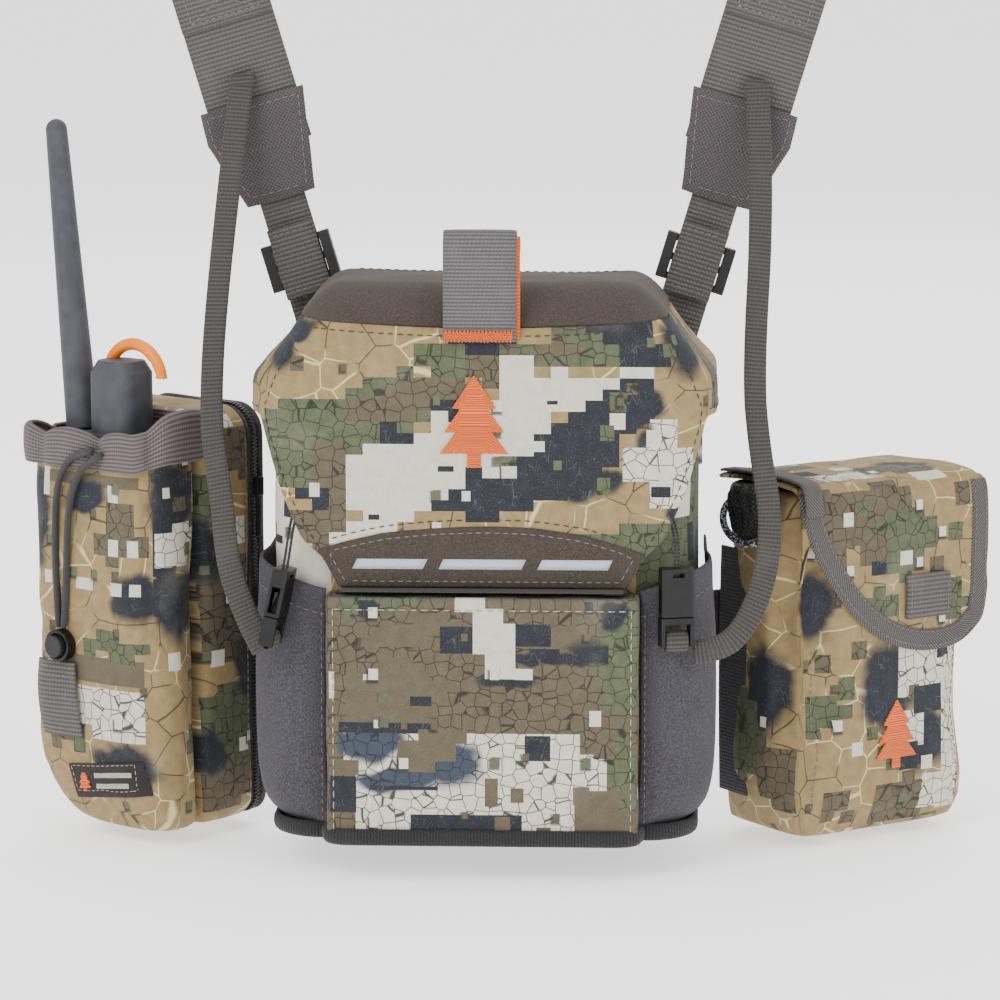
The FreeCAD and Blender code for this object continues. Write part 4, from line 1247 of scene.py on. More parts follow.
def make_side_pocket(side):
    label = "left" if side < 0 else "right"
    levels = 18
    rows, uvs = [], []
    for i in range(levels + 1):
        t = i / levels
        row, row_uv = [], []
        count = len(side_path(0))
        s = 0.0
        for j in range(count):
            x0, y0 = side_path(0)[j]
            top = 5.0 if x0 > 94.9 else -6 + 11 * ((x0 - 64.5) / 30.5) ** 1.3
            z = -107.6 + (top + 107.6) * t
            tuck = max(0.0, (-92 - z) / 15.6)
            pull = 5.5 * (1 - math.sqrt(max(0.0, 1 - min(tuck, 1.0) ** 2))) * smooth_step(x0, 66, 82)
            fullness = 1.5 * math.sin(math.pi * t) * math.sin(math.pi * j / (count - 1))
            hem = 0.45 if (top - z) < 11.5 else 0.0
            slack = 0.9 * math.sin(j * 0.9 + t * 3) * (1 - t) * math.sin(math.pi * t)
            lean = 3.2 * smooth_step(t, 0.72, 1.0) * smooth_step(y0, -78, -50)
            x, y = side_path(pull - fullness + slack * 0.3 - hem + lean)[j]
            if j:
                s += math.dist((x0, y0), side_path(0)[j - 1])
            row.append((side * narrow_foot(x, z), y, z))
            row_uv.append((s * MM, z * MM))
        rows.append(row)
        uvs.append(row_uv)
    edge = rows[-1]
    rows.append([(x - side * 0.9, y + 0.9, z + 0.5) for x, y, z in edge])
    uvs.append(uvs[-1])
    pocket = grid_piece(label + "_side_pocket", rows, uvs=uvs)
    if side < 0:
        pocket.data.flip_normals()
    thicken(pocket, 1.5)
    subdivide(pocket)
    finish_piece(settle(pocket), STRETCH_CLOTH, "pack", ["side_pockets"])
    low = rows[levels]
    hem_line = [(x, y, z - 10.5) for x, y, z in low]
    front_line = [(side * 66.8, -92.5, z) for z in (-104, -60, -8)]
    surface = tree_of(pocket)
    sew(label + "_side_pocket_stitching", [(hem_line, surface), (front_line, surface)], GREY_THREAD, "pack",
        stitch=2.2, gap=1.4, thick=0.42)


# ---- front pocket ----
def pocket_path(inset=0.0, step=6.0):
    """The front pocket seen from above: left side, rounded corner, front, corner, right side."""
    half, front, r = 64.5 - inset, -104.0 + inset, 3.4
    path = [(-half, -88.0), (-half, -96.0), (-half, front + r)]
    path += [(-half + r - r * math.cos(a), front + r - r * math.sin(a))
             for a in (math.pi / 2 * k / 4 for k in range(1, 5))]
    count = round((2 * half - 2 * r) / step)
    path += [(-half + r + (2 * half - 2 * r) * k / count, front) for k in range(1, count)]
    return path + [(-x, y) for x, y in reversed(path[:7])]


def make_front_pocket():
    camo_pocket = camo("camo_pocket", [
        ("box:brown", [(0, -56, 80, 60)]),
        ("step:plain brown", [(-38, -48, 21, 15), (34, -25, 20, 7), (-30, -22, 16, 5)]),
        ("soft:green", [(60, -30, 14, 28), (-36, -6, 30, 4), (60, -80, 8, 12)]),
        ("soft:slate", [(-50, -12, 8, 5), (48, -28, 12, 5), (10, -42, 12, 3.6), (28, -32, 20, 3),
                        (54, -14, 5, 5)]),
        ("box:white cells", [(-0.3, -90.4, 51.8, 16.5), (15.4, -69.3, 25, 5.8), (-33, -69.5, 24, 5.8),
                             (8, -80, 38, 8)]),
        ("soft:blue", [(-18, -78, 16, 9), (-46, -67, 14, 8), (-36, -84, 18, 5), (-9, -74, 8, 8),
                       (58, -93, 6, 5)]),
        ("box:slate", [(-10.3, -24.6, 6.8, 5.6), (21, -22.5, 7.4, 4.6), (26, -30, 6, 2.0),
                       (23, -69.6, 5.3, 5.3),
                       (-6.4, -101.8, 23, 3.9), (-57.4, -89.8, 5.6, 7.6), (-40, -61.6, 19, 2.2),
                       (-25, -50.2, 4.4, 2.0), (-32, -86.8, 14, 0.8), (44, -11, 1.8, 2.6)]),
        ("box:plain brown", [(-22.6, -71, 12, 4.4), (-27, -76, 8, 4), (-16, -65, 10, 3), (51, -97, 12.8, 9.6),
                             (4.0, -88.4, 2.7, 6.0), (14.6, -89.6, 2.7, 3.1), (41, -89.6, 3.4, 3.8),
                             (8.6, -101.6, 3.2, 3.0), (-56.5, -78.4, 5.8, 3.1), (25.5, -106, 3, 3)]),
        ("box:white", [(-4.8, -9.2, 6.2, 3.8), (2.6, -21.0, 6.2, 9.4), (7.6, -29.2, 6.2, 11.5),
                       (17.3, -38.6, 3.7, 2.3),
                       (46.7, -57, 2.4, 3.3), (-43.3, -60, 1.1, 1.7), (-47.6, -40.4, 1.1, 1.2),
                       (-62, -44, 1.2, 5.6)]),
        ("box:green", [(-54.5, -10.5, 4, 4), (-48, -7, 3, 1.4), (57.5, -68, 2.4, 3.4), (61, -93.6, 4.8, 2.6),
                       (-40.6, -59, 2.2, 2.4), (-40.6, -49, 2.2, 2.0), (-56, -15.5, 2, 2.4),
                       (57, -30, 5, 9)]),
    ], 2.0)
    path = pocket_path()
    rows, uvs = [], []
    heights = [-107.2 + k * (99.0 / 22) for k in range(23)]
    for z in heights:
        t = (z + 107.2) / 99.0
        row, row_uv = [], []
        s = -sum(math.dist(a, b) for a, b in zip(path, path[1:])) / 2
        for j, (x, y) in enumerate(path):
            if j:
                s += math.dist(path[j - 1], path[j])
            across = x / 64.5
            crown = 1.3 * (1 - across ** 2) * math.sin(math.pi * min(max(t, 0), 1)) if y < -103 else 0.0
            seam = -0.55 * math.exp(-((abs(x) - 61.4) / 1.0) ** 2) if y < -103 else 0.0
            seam -= 0.5 * math.exp(-((z + 12.4) / 1.1) ** 2) if y < -103 else 0.0
            row.append((x, y - crown - seam, z))
            row_uv.append((s * MM, z * MM))
        rows.append(row)
        uvs.append(row_uv)
    for inset, z in ((0.5, -7.4), (1.6, -7.1), (2.6, -7.6), (2.9, -12.0)):
        rows.append([(x * (1 - inset / 64.5), min(y + inset, -88), z) for x, y in path])
        uvs.append([(u, z * MM) for (u, _), (x, y) in zip(uvs[0], path)])
    pocket = grid_piece("front_pocket_cover", rows, uvs=uvs)
    ripple(pocket, 0.7, 24.0, 4.0, lambda p: smooth_step(-10 - p.z, 0, 10) * smooth_step(p.z + 104, 0, 10))
    thicken(pocket, 1.3)
    subdivide(pocket)
    finish_piece(settle(pocket), camo_pocket, "pack", ["front_pocket"])
    surface = tree_of(pocket)
    runs = [([(x, -105.5, z) for z in (-105, -60, -9)], surface) for x in (-61.4, 61.4)]
    runs.append(([(x, -105.5, -12.4) for x in (-61, 0, 61)], surface))
    sew("front_pocket_stitching", runs, PALE_THREAD, "pack", stitch=3.0, gap=1.5)

    tape = grid_piece("front_zip_tape", [[(x, y, -7.3 + 0.25 * math.sin(x * 0.2)) for x in range(-62, 63, 4)]
                                         for y in (-102.6, -98.8, -97.6, -93.6, -88.4)])
    thicken(tape, 0.5)
    finish_piece(settle(tape), ZIP_CLOTH, "pack", ["front_pocket_zip"])
    teeth = coil_teeth([(-61, -96.5, -6.75), (61, -96.5, -6.75)], (0, 0, 1), height=0.6)
    small_blocks("front_zip_teeth", teeth, ZIP_TEETH, "pack")


# ---- base ----
def base_path(grow, z=0.0):
    """The base's outline from above, with the toe under the front pocket."""
    half, front, toe, toe_half, r = 87.0 + grow, -91.0 - grow, -104.6 - grow, 64.9 + grow, 21.0
    path = [(0, -5.2), (-half + 6, -5.2), (-half, -11.2), (-half, -40), (-half, front + r)]
    path += [(-half + r - r * math.cos(a), front + r - r * math.sin(a))
             for a in (math.pi / 2 * k / 8 for k in range(1, 9))]
    path += [(-toe_half - 0.6, front), (-toe_half + 0.2, front - 4), (-toe_half + 1.6, toe + 4),
             (-toe_half + 5, toe + 1.2),
             (-toe_half + 10, toe), (-30, toe)]
    right = [(-x, y) for x, y in reversed(path[1:])]
    return [(x, y, z) for x, y in path + [(0, toe)] + right + [(0, -5.2)]]


def make_base():
    outline = fill_gaps(base_path(0.0), 6.0)
    centre = Vector((0, -50, 0))
    rows, uvs = [], []
    for shrink, z in ((0.0, -107.2), (0.0, -109.6), (0.012, -110.5), (0.1, -110.9), (0.4, -110.8),
                      (0.7, -110.6), (0.97, -110.6)):
        row = [(x + (centre.x - x) * shrink, y + (centre.y - y) * shrink, z) for x, y, _ in outline]
        rows.append(row)
        uvs.append([(x * MM, y * MM) for x, y, _ in row])
    base = close_ends(grid_piece("base_cover", rows, uvs=uvs))
    finish_piece(base, PATCH_CANVAS, "pack", ["base_panel"])
    line = fill_gaps(base_path(0.5, -107.9), 2.5)[:-1]
    rows, uvs = [], []
    around = 0.0
    profile = ((-0.8, 3.3), (0.5, 2.9), (1.15, 1.6), (1.4, 0), (1.15, -1.6), (0.5, -2.8), (-1.4, -3.1))
    for i, p in enumerate(line + line[:1]):
        before, after = Vector(line[i % len(line) - 1]), Vector(line[(i + 1) % len(line)])
        ahead = (after - before).normalized()
        out = Vector((-ahead.y, ahead.x, 0)) * -1
        if out.dot(Vector(p) - Vector((0, -50, p[2]))) < 0:
            out = -out
        if i:
            around += (Vector(p) - Vector((line + line[:1])[i - 1])).length
        rows.append([Vector(p) + out * a + Vector((0, 0, b)) for a, b in profile])
        uvs.append([(k * 1.4 * MM, around * MM) for k in range(len(profile))])
    binding = grid_piece("base_binding_tape", rows, uvs=uvs)
    binding.data.flip_normals()
    thicken(binding, 0.5)
    subdivide(binding)
    finish_piece(settle(binding), BASE_TAPE, "pack", ["base_binding"])


# ---- back panel ----
BACK_EDGE = [(-105, 75), (-95, 85.5), (40, 85.5), (92, 78), (98, 63)]


def back_half(z):
    for (z0, x0), (z1, x1) in zip(BACK_EDGE, BACK_EDGE[1:]):
        if z <= z1:
            return x0 + (x1 - x0) * max(0.0, (z - z0) / (z1 - z0))
    return BACK_EDGE[-1][1]


def make_back_panel():
    """A padded mesh panel, quilted into four upright channels and one across."""
    rows, uvs = [], []
    columns = 44
    for i in range(53):
        z = -105 + 203 * i / 52
        half = back_half(z)
        row, row_uv = [], []
        for j in range(columns + 1):
            s = -1 + 2 * j / columns
            x = half * s
            rim = min((1 - abs(s)) * half, (98 - z), (z + 105)) / 9.0
            crown = 1 - (1 - min(max(rim, 0.0), 1.0)) ** 2
            groove = sum(math.exp(-((x - c) / 2.0) ** 2) for c in (-40, 0, 40))
            groove += math.exp(-((z - 30) / 2.0) ** 2)
            row.append((x, -4.4 + 4.2 * crown - 2.2 * min(groove, 1.0) * crown, z))
            row_uv.append((x * MM, z * MM))
        rows.append(row)
        uvs.append(row_uv)
    panel = grid_piece("back_pad", rows, uvs=uvs)
    thicken(panel, 2.6)
    subdivide(panel)
    finish_piece(settle(panel), MESH, "pack", ["back_panel"])
    edge = [(-back_half(z) - 0.1, -4.6, z) for z in [z for z, _ in BACK_EDGE]]
    loop = edge + [(-x, y, z) for x, y, z in reversed(edge)] + edge[:1]
    loop = fill_gaps(loop, 4.0)
    binding = ribbon("back_binding", [Vector(p) * MM for p in loop], 5.0, 1.4, lambda t: Vector((0, 1, 0)),
                     None, 3.0)
    finish_piece(binding, BINDING_TAPE, "pack")
    surface = tree_of(panel)
    runs = [([(x, 0.5, z) for z in (-98, 0, 90)], surface) for x in (-40, 0, 40)]
    runs.append(([(x, 0.5, 30) for x in (-78, 0, 78)], surface))
    sew("back_stitching", runs, DARK_THREAD, "pack")


# ---- hood ----
HOOD_EDGE = [(-4.4, 59.6), (8.8, 66.5), (12.5, 71.5), (14.5, 74), (37, 84.2), (60, 92.6), (66, 95.0)]
HOOD_CORNER = 20.0
HOOD_REAR = -14.5


def hood_edge(z):
    """Half width of the hood's front, along the cloth, at a height below the wings."""
    for (z0, a0), (z1, a1) in zip(HOOD_EDGE, HOOD_EDGE[1:]):
        if z <= z1:
            return a0 + (a1 - a0) * max(0.0, (z - z0) / (z1 - z0))
    return HOOD_EDGE[-1][1]


def hood_shape(z):
    """Half width and front depth of the hood at a height."""
    t = max(0.0, (z - 82) / 24)
    return 96 - 20 * t - 1.6 * math.sin(math.pi * t), -96 + 3 * t - 1.2 * math.sin(math.pi * t)


def hood_point(a, z, out=0.0):
    """The point a millimetres round the hood from its middle, at height z."""
    half, front = hood_shape(z)
    flat = half - HOOD_CORNER
    s = abs(a)
    turn = HOOD_CORNER * math.pi / 2
    r = HOOD_CORNER + out
    if s <= flat:
        x, y = s, front - out
    elif s <= flat + turn:
        angle = (s - flat) / HOOD_CORNER
        x, y = flat + r * math.sin(angle), front + HOOD_CORNER - r * math.cos(angle)
    else:
        x, y = half + out, front + HOOD_CORNER + (s - flat - turn)
    return Vector((math.copysign(x, a), y, z))


def hood_reach(z):
    """Length along the cloth from the hood's middle to its rear edge."""
    half, front = hood_shape(z)
    return half - HOOD_CORNER + HOOD_CORNER * math.pi / 2 + HOOD_REAR - (front + HOOD_CORNER)


def lid_seam(x):
    """Height of the seam between the camouflage and the top panel."""
    return 103.0 + 3.2 * (abs(x) / 70) ** 2


def make_hood_front():
    camo_hood = camo("camo_hood", [
        ("step:green", [(-70, 56, 30, 19, 4), (-40, 70, 22, 10, 12), (-16, 90, 16, 7, 8), (34, 93, 30, 9, 6),
                        (52, 102, 22, 7), (16, 48, 16, 6), (2, 36, 12, 6), (66, 13, 26, 9)]),
        ("step:brown", [(-30, 74, 26, 6, 16), (-63, 34, 10, 22), (4, 88, 10, 4), (34, 94, 9, 6),
                        (-68, 18, 12, 10),
                        (112, 84, 16, 20), (-120, 84, 18, 22)]),
        ("step:slate", [(66, 92, 9, 14, 20), (54, 72, 13, 13, 25), (36, 53, 21, 14, 22), (6, 35, 28, 9, 6),
                        (-2, 99, 14, 7), (-36, 61, 10, 5), (-16, 66, 8, 7), (48, 103, 10, 4),
                        (-72, 34, 6, 6)]),
        ("soft:slate", [(88, 100, 12, 16, -20), (70, 50, 9, 12), (-88, 95, 9, 12, 30), (66, 70, 10, 8, 30),
                        (44, 38, 14, 6, 10), (-80, 104, 12, 5), (84, 26, 8, 12)]),
        ("step:white", [(-36, 41, 21, 17, 0), (-12, 52, 22, 13, 10), (12, 66, 17, 15, 30), (16, 84, 8, 9),
                        (34, 77, 18, 6.5, 6), (64, 87, 9, 3.5, 14), (-48, 20, 17, 4.6, 10)]),
        ("box:white cells", [(72, 47.2, 14.6, 7.0), (78, 36.5, 9.6, 7.2), (74, 60, 5.6, 6.0)]),
        ("box:white", [(22.4, 54.6, 3.1, 2.2), (11.0, 43.9, 3.1, 2.5), (55.2, 65, 3.2, 3.4),
                       (-69, 36, 2.1, 2.9),
                       (75, 41, 2.7, 2.6), (70, 58, 3, 3.6)]),
        ("box:slate", [(-15, 45.1, 3.3, 1.2), (-44.6, 24.8, 2.3, 1.1), (28.6, 72.7, 2.2, 0.8),
                       (73, 36, 4, 2.2)]),
        ("box:green", [(51, 60.2, 2.9, 3.2), (55.4, 73, 3.5, 4), (77, 93.8, 3, 2.6), (49.6, 38.2, 2.7, 3.6),
                       (38, 98, 3.6, 2.2)]),
        ("box:brown", [(61, 78.4, 2.2, 2.4), (-76, 88, 3, 3)]),
    ], 3.0)
    inner = [-1 + 2 * j / 46 for j in range(47)]
    low_rows, low_uvs = [], []
    for i in range(21):
        z = -4.4 + 70.4 * i / 20
        edge = hood_edge(z)
        low_rows.append([hood_point(t * edge, z, 0.5 * (1 - t * t)) for t in inner])
        low_uvs.append([(t * edge * MM, z * MM) for t in inner])
    high_rows, high_uvs = [], []
    for i in range(13):
        t = i / 12
        row, row_uv = [], []
        for s in [-1 - k / 12 for k in range(12, 0, -1)] + inner + [1 + k / 12 for k in range(1, 13)]:
            top_z = 106.4
            start = 66.0
            edge = 95.0 * (1 - 0.18 * t)
            z = start + (top_z - start) * t
            if abs(s) <= 1:
                a = s * edge
            else:
                a = math.copysign(edge + (abs(s) - 1) * (hood_reach(z) - edge), s)
            p = hood_point(a, z, 0.5 * max(0.0, 1 - (a / 95) ** 2))
            seam = lid_seam(p.x) if abs(s) <= 1 else top_z
            lowered = start + (seam - start) * t
            p = hood_point(a, lowered, 0.5 * max(0.0, 1 - (a / 95) ** 2))
            row.append(p)
            row_uv.append((a * MM, lowered * MM))
        high_rows.append(row)
        high_uvs.append(row_uv)
    low = grid_piece("hood_low", low_rows, uvs=low_uvs)
    high = grid_piece("hood_high", high_rows, uvs=high_uvs)
    hood = join([low, high], "hood_cover")
    shape = bmesh.new()
    shape.from_mesh(hood.data)
    bmesh.ops.remove_doubles(shape, verts=shape.verts, dist=2e-5)
    shape.to_mesh(hood.data)
    shape.free()
    ripple(hood, 0.9, 34.0, 5.0, lambda p: smooth_step(p.z, 2, 20) * smooth_step(104 - p.z, 0, 12))
    add_lining(hood, 2.2)
    subdivide(hood)
    settle(hood)
    finish_lined(hood, camo_hood, SOFT_LID, "hood", ["hood_front"])
    return hood


def add_lining(piece, thick):
    """Thickness inward, with the second material on the inner face."""
    solid = piece.modifiers.new("Solidify", "SOLIDIFY")
    solid.thickness = thick * MM
    solid.offset = -1.0
    solid.material_offset = 1
    piece.data.materials.clear()
    piece.data.materials.append(SOFT_LID)
    piece.data.materials.append(SOFT_LID)


def finish_lined(piece, outer, inner, body, replaced):
    sides = [face.material_index for face in piece.data.polygons]
    finish_piece(piece, outer, body, replaced)
    piece.data.materials.append(inner)
    for face, side in zip(piece.data.polygons, sides):
        face.material_index = side


def top_half(y):
    """Half width of the top panel's plan, with rounded front corners."""
    front = hood_shape(106)[1] - 0.4
    if y > front + HOOD_CORNER:
        return 76.3
    drop = front + HOOD_CORNER - y
    return 56.3 + math.sqrt(max(0.0, HOOD_CORNER ** 2 - drop ** 2))


def make_hood_top():
    rows, uvs = [], []
    front = hood_shape(106)[1] - 0.4
    for i in range(34):
        v = i / 33
        y = front + (HOOD_REAR - front) * (v ** 1.35)
        row, row_uv = [], []
        for j in range(49):
            s = -1 + 2 * j / 48
            s = math.copysign(abs(s) ** 0.85, s)
            half = top_half(y)
            x = half * s
            side = (half * (1 - abs(s))) / 17.0
            ahead = (y - front) / 27.0
            rise = (math.sin(min(side, 1.0) * math.pi / 2) ** 0.9
                    * math.sin(min(ahead, 1.0) * math.pi / 2) ** 0.9)
            base = lid_seam(x) + (106.4 - lid_seam(x)) * min(1.0, ahead * 1.5)
            z = (base + (119.3 - base) * rise
                 - 1.0 * math.exp(-((x / 74) ** 2)) * smooth_step(y, -60, -20) * rise)
            row.append((x, y, z))
            row_uv.append((x * MM, y * MM))
        rows.append(row)
        uvs.append(row_uv)
    top = grid_piece("hood_top", rows, uvs=uvs)
    ripple(top, 1.1, 30.0, 9.0, lambda p: smooth_step(p.z, 108, 116))
    add_lining(top, 2.4)
    subdivide(top)
    settle(top)
    finish_piece(top, SOFT_LID, "hood", ["hood_top_panel"])
    return top


BAR_TOP = [(-68.5, 11.2), (-58, 14.6), (-41, 18.6), (-20, 20.8), (1, 21.6), (21, 21.0), (41, 18.2),
           (58, 13.2),
           (68.5, 9.8)]


def bar_height(x):
    for (x0, z0), (x1, z1) in zip(BAR_TOP, BAR_TOP[1:]):
        if x <= x1:
            return z0 + (z1 - z0) * (x - x0) / (x1 - x0)
    return BAR_TOP[-1][1]


def make_name_bar():
    """The dark panel at the hood's foot, with a plain reflective stripe."""
    rows, uvs = [], []
    for i in range(13):
        t = i / 12
        row, row_uv = [], []
        for j in range(57):
            s = -1 + 2 * j / 56
            top = bar_height(s * 68.5)
            z = -4.3 + (top + 4.3) * t
            x = s * min(68.2, hood_edge(z) - 0.2)
            puff = 1.1 * math.sin(math.pi * min(max(t, 0.03), 0.97)) ** 0.5 * (1 - abs(s) ** 8)
            row.append(hood_point(x, z, 0.9 + puff * 0.8))
            row_uv.append((x * MM, z * MM))
        rows.append(row)
        uvs.append(row_uv)
    bar = grid_piece("hood_bar", rows, uvs=uvs)
    thicken(bar, 1.4)
    subdivide(bar)
    finish_piece(settle(bar), SOFT_LID, "hood", ["hood_name_bar"])
    surface = tree_of(bar)
    ends = [(-56.6, -1.6), (-62.6, 9.4), (-60.5, 11.6)]
    border = [(x, -98.4, z) for x, z in ends]
    border += [(x, -98.4, bar_height(x) - 2.6) for x in range(-56, 57, 8)]
    border += [(-x, -98.4, z) for x, z in reversed([(-56.6, -1.6), (-62.0, 8.2)])] + [border[0]]
    sew("hood_bar_stitching", [(border, surface)], GREY_THREAD, "hood", stitch=2.4, gap=1.3)
    stripes = []
    for centre, half in ((-38, 15.5), (0, 18.0), (38, 15.5)):
        corners = [(centre - half, 3.6), (centre + half - 2, 3.6), (centre + half, 7.8),
                   (centre - half + 2, 7.8)]
        stripes.append(corners)
    points, faces = [], []
    for corners in stripes:
        first = len(points)
        for level in range(2):
            for k in range(9):
                (ax, az), (bx, bz) = (corners[0], corners[1]) if level == 0 else (corners[3], corners[2])
                x, z = ax + (bx - ax) * k / 8, az + (bz - az) * k / 8
                place, _, _, _ = surface.find_nearest(Vector((x, -99.5, z)) * MM)
                points.append(place / MM + Vector((0, -0.14, 0)))
        faces += [(first + k, first + k + 1, first + 10 + k, first + 9 + k) for k in range(8)]
    stripe = thicken(make_piece("hood_reflective_stripe", points, faces), 0.22)
    finish_piece(settle(stripe), PRINT, "hood")


def make_crest(name, place, body, height=1.0):
    """A generic pine tree in raised embroidery, flat on X-Z at y = 0, set by place."""
    half = [(0.9, -12.5), (2.0, -12.5), (1.9, -8.5), (9.6, -8.6), (5.0, -2.4), (8.4, -2.6), (3.9, 4.0),
            (6.2, 4.2),
            (0.2, 13.4)]
    outline = half + [(-x, z) for x, z in reversed(half)]
    shape = bmesh.new()
    corners = [shape.verts.new(Vector((x * height, 0, z * height)) * MM) for x, z in outline]
    edges = [shape.edges.new((a, b)) for a, b in zip(corners, corners[1:] + corners[:1])]
    bmesh.ops.triangle_fill(shape, edges=edges, use_beauty=True)
    mesh = bpy.data.meshes.new(name)
    shape.to_mesh(mesh)
    shape.free()
    piece = bpy.data.objects.new(name, mesh)
    bpy.context.scene.collection.objects.link(piece)
    for polygon in mesh.polygons:
        if polygon.normal.y > 0:
            polygon.flip()
    solid = piece.modifiers.new("Solidify", "SOLIDIFY")
    solid.thickness = 0.9 * MM
    solid.offset = 0.0
    soften_edges(piece, 0.4, 3, 50)
    settle(piece)
    paint_uv(piece, lambda p: (abs(p.x), p.z))
    piece.data.transform(move(*(Vector(place.translation) * MM)) @ place.to_3x3().to_4x4())
    for polygon in piece.data.polygons:
        polygon.use_smooth = True
    return finish_piece(piece, ORANGE_THREAD, body)


def make_pull_tab():
    path = [(-97.2, 97.6), (-97.4, 108), (-97.4, 126), (-97.1, 136.5), (-95.6, 140.6), (-93, 142.2),
            (-90.4, 140.6),
            (-88.9, 136.5), (-88.0, 122), (-87.4, 114.4)]
    line = [Vector((-1.0, y, z)) * MM for _, y, z in smooth_line([(0.0, y, z) for y, z in path], 6)]
    tab = ribbon("tab_webbing", line, 30.0, 1.8, spacing=1.5, across=Vector((1, 0, 0)))
    finish_piece(tab, webbing("tab_weave", rgb(104, 102, 102), 1.5), "hood", ["pull_tab"])
    path = [(-95.6, 98.6), (-95.7, 112), (-95.6, 136.2), (-94.4, 139.2), (-93, 140.2), (-91.4, 138.6),
            (-90.6, 134)]
    line = [Vector((1.1, y, z)) * MM for _, y, z in smooth_line([(0.0, y, z) for y, z in path], 6)]
    lining = ribbon("tab_lining", line, 28.6, 0.7, spacing=1.5, across=Vector((1, 0, 0)))
    finish_piece(lining, ORANGE_CLOTH, "hood", ["pull_tab_lining"])
    tacks = []
    for row, z in enumerate((99.0, 101.0)):
        zigzag = [Vector((-15.5 + 0.75 * k, -98.75, z + (1.5 if k % 2 else -1.5))) * MM for k in range(38)]
        tacks.append(tube("tack_%d" % row, zigzag, 0.42 * MM, 6))
    tack = join(tacks, "tab_bartack")
    finish_piece(tack, ORANGE_THREAD, "hood")


def make_hood_sewing(hood, top):
    surface = tree_of(hood)
    runs = []
    for side in (-1, 1):
        edge = [hood_point(side * (hood_edge(z) - 3.8), z, 1.2) for z in (12, 24, 37, 50, 62)]
        edge += [hood_point(side * 92.5 * (1 - 0.18 * t), 66 + 38 * t, 1.2) for t in (0.1, 0.35, 0.6, 0.85)]
        runs.append((edge, surface))
        wing = [hood_point(side * (96 + 6 * k), 69.2, 1.2) for k in range(12)]
        runs.append((wing, surface))
    seam = [hood_point(x, lid_seam(x) - 3.4, 1.2) for x in range(-70, 71, 7)]
    runs.append((seam, surface))
    arc = [hood_point(x, bar_height(x) + 2.6, 1.6) for x in range(-62, 63, 8)]
    runs.append((arc, surface))
    sew("hood_stitching", runs, DARK_THREAD, "hood", stitch=2.6, gap=1.4)
    back = [(x, HOOD_REAR - 3.5, 122) for x in range(-56, 57, 14)]
    sew("hood_rear_stitching", [(back, tree_of(top))], DARK_THREAD, "hood")


def make_hood():
    hood = make_hood_front()
    top = make_hood_top()
    make_name_bar()
    make_crest("hood_crest", move(-3.4, -97.0, 64.0), "hood", 1.46)
    make_pull_tab()
    make_hood_sewing(hood, top)


# ---- hard parts that keep their CAD shape ----
def rounded_copy(node, material, edge=0.4, segments=2, angle=30.0):
    """A CAD part with its edges rounded off, in place of the plain one."""
    mesh = frame["nodes"][node].data.copy()
    shape = bmesh.new()
    shape.from_mesh(mesh)
    bmesh.ops.remove_doubles(shape, verts=shape.verts, dist=1e-6)
    bmesh.ops.dissolve_limit(shape, angle_limit=math.radians(2), verts=shape.verts, edges=shape.edges)
    shape.to_mesh(mesh)
    shape.free()
    piece = bpy.data.objects.new(node + "_moulding", mesh)
    bpy.context.scene.collection.objects.link(piece)
    soften_edges(piece, edge, segments, angle)
    even = piece.modifiers.new("Normals", "WEIGHTED_NORMAL")
    even.keep_sharp = False
    for polygon in mesh.polygons:
        polygon.use_smooth = True
    settle(piece)
    return finish_piece(piece, material, frame["nodes"][node]["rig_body"], [node])


def repaint(node, material):
    """A better material on a CAD part that is shown as it is."""
    piece = frame["nodes"][node]
    for slot in piece.material_slots:
        slot.material = material
    if not piece.material_slots:
        piece.data.materials.append(material)
    return piece


# ---- shoulder straps ----
def local_ribbon(name, path, place, width, thick, x=0.0, spacing=1.6, curve=6):
    """Webbing whose width runs along local X, following (y, z) points."""
    line = [place @ Vector((x, y, z)) * MM for _, y, z in smooth_line([(0.0, y, z) for y, z in path], curve)]
    across = (place.to_3x3() @ Vector((1, 0, 0))).normalized()
    return ribbon(name, line, width, thick, spacing=spacing, across=across)


def make_strap(side):
    label = "left" if side < 0 else "right"
    place = strap_place(side)
    path = [(-7.0, 68), (-7.0, 100), (-7.0, 132), (-6.4, 146), (-4.0, 152.5), (-3.6, 157.5), (-4.8, 161.2),
            (-7.3, 162.8), (-9.8, 161.2), (-11.0, 157.5), (-10.4, 151), (-8.9, 145), (-8.8, 134), (-8.8, 124)]
    strap = local_ribbon(label + "_strap", path, place, 40.0, 1.5)
    finish_piece(strap, GREY_WEBBING, "pack", ["shoulder_straps"])
    web = local_ribbon(label + "_adjuster_web", [(-6.2, -15), (-6.2, 20), (-6.2, 50), (-6.6, 68)], place,
                       20.0, 1.5)
    finish_piece(web, GREY_WEBBING, "pack", ["adjuster_webs"])
    tail = local_ribbon(label + "_adjuster_tail",
                        [(-12.6, 3.6), (-12.2, 8), (-12.3, 18), (-12.2, 29), (-12.7, 34.4)],
                        place, 20.0, 1.6)
    finish_piece(tail, GREY_WEBBING, "pack", ["adjuster_webs"])
    surface = tree_of(strap)
    box = [(-15, 127), (15, 127), (15, 142), (-15, 142), (-15, 127), (15, 142), (-15, 142), (15, 127)]
    runs = [([place @ Vector((x, -10.2, z)) for x, z in box], surface)]
    tail_surface = tree_of(tail)
    for z in (6.6, 31.6):
        runs.append(([place @ Vector((x, -13.6, z)) for x in (-8, 8)], tail_surface))
    sew(label + "_strap_stitching", runs, GREY_THREAD, "pack", stitch=2.0, gap=0.9)
    make_patch(side, label, place)


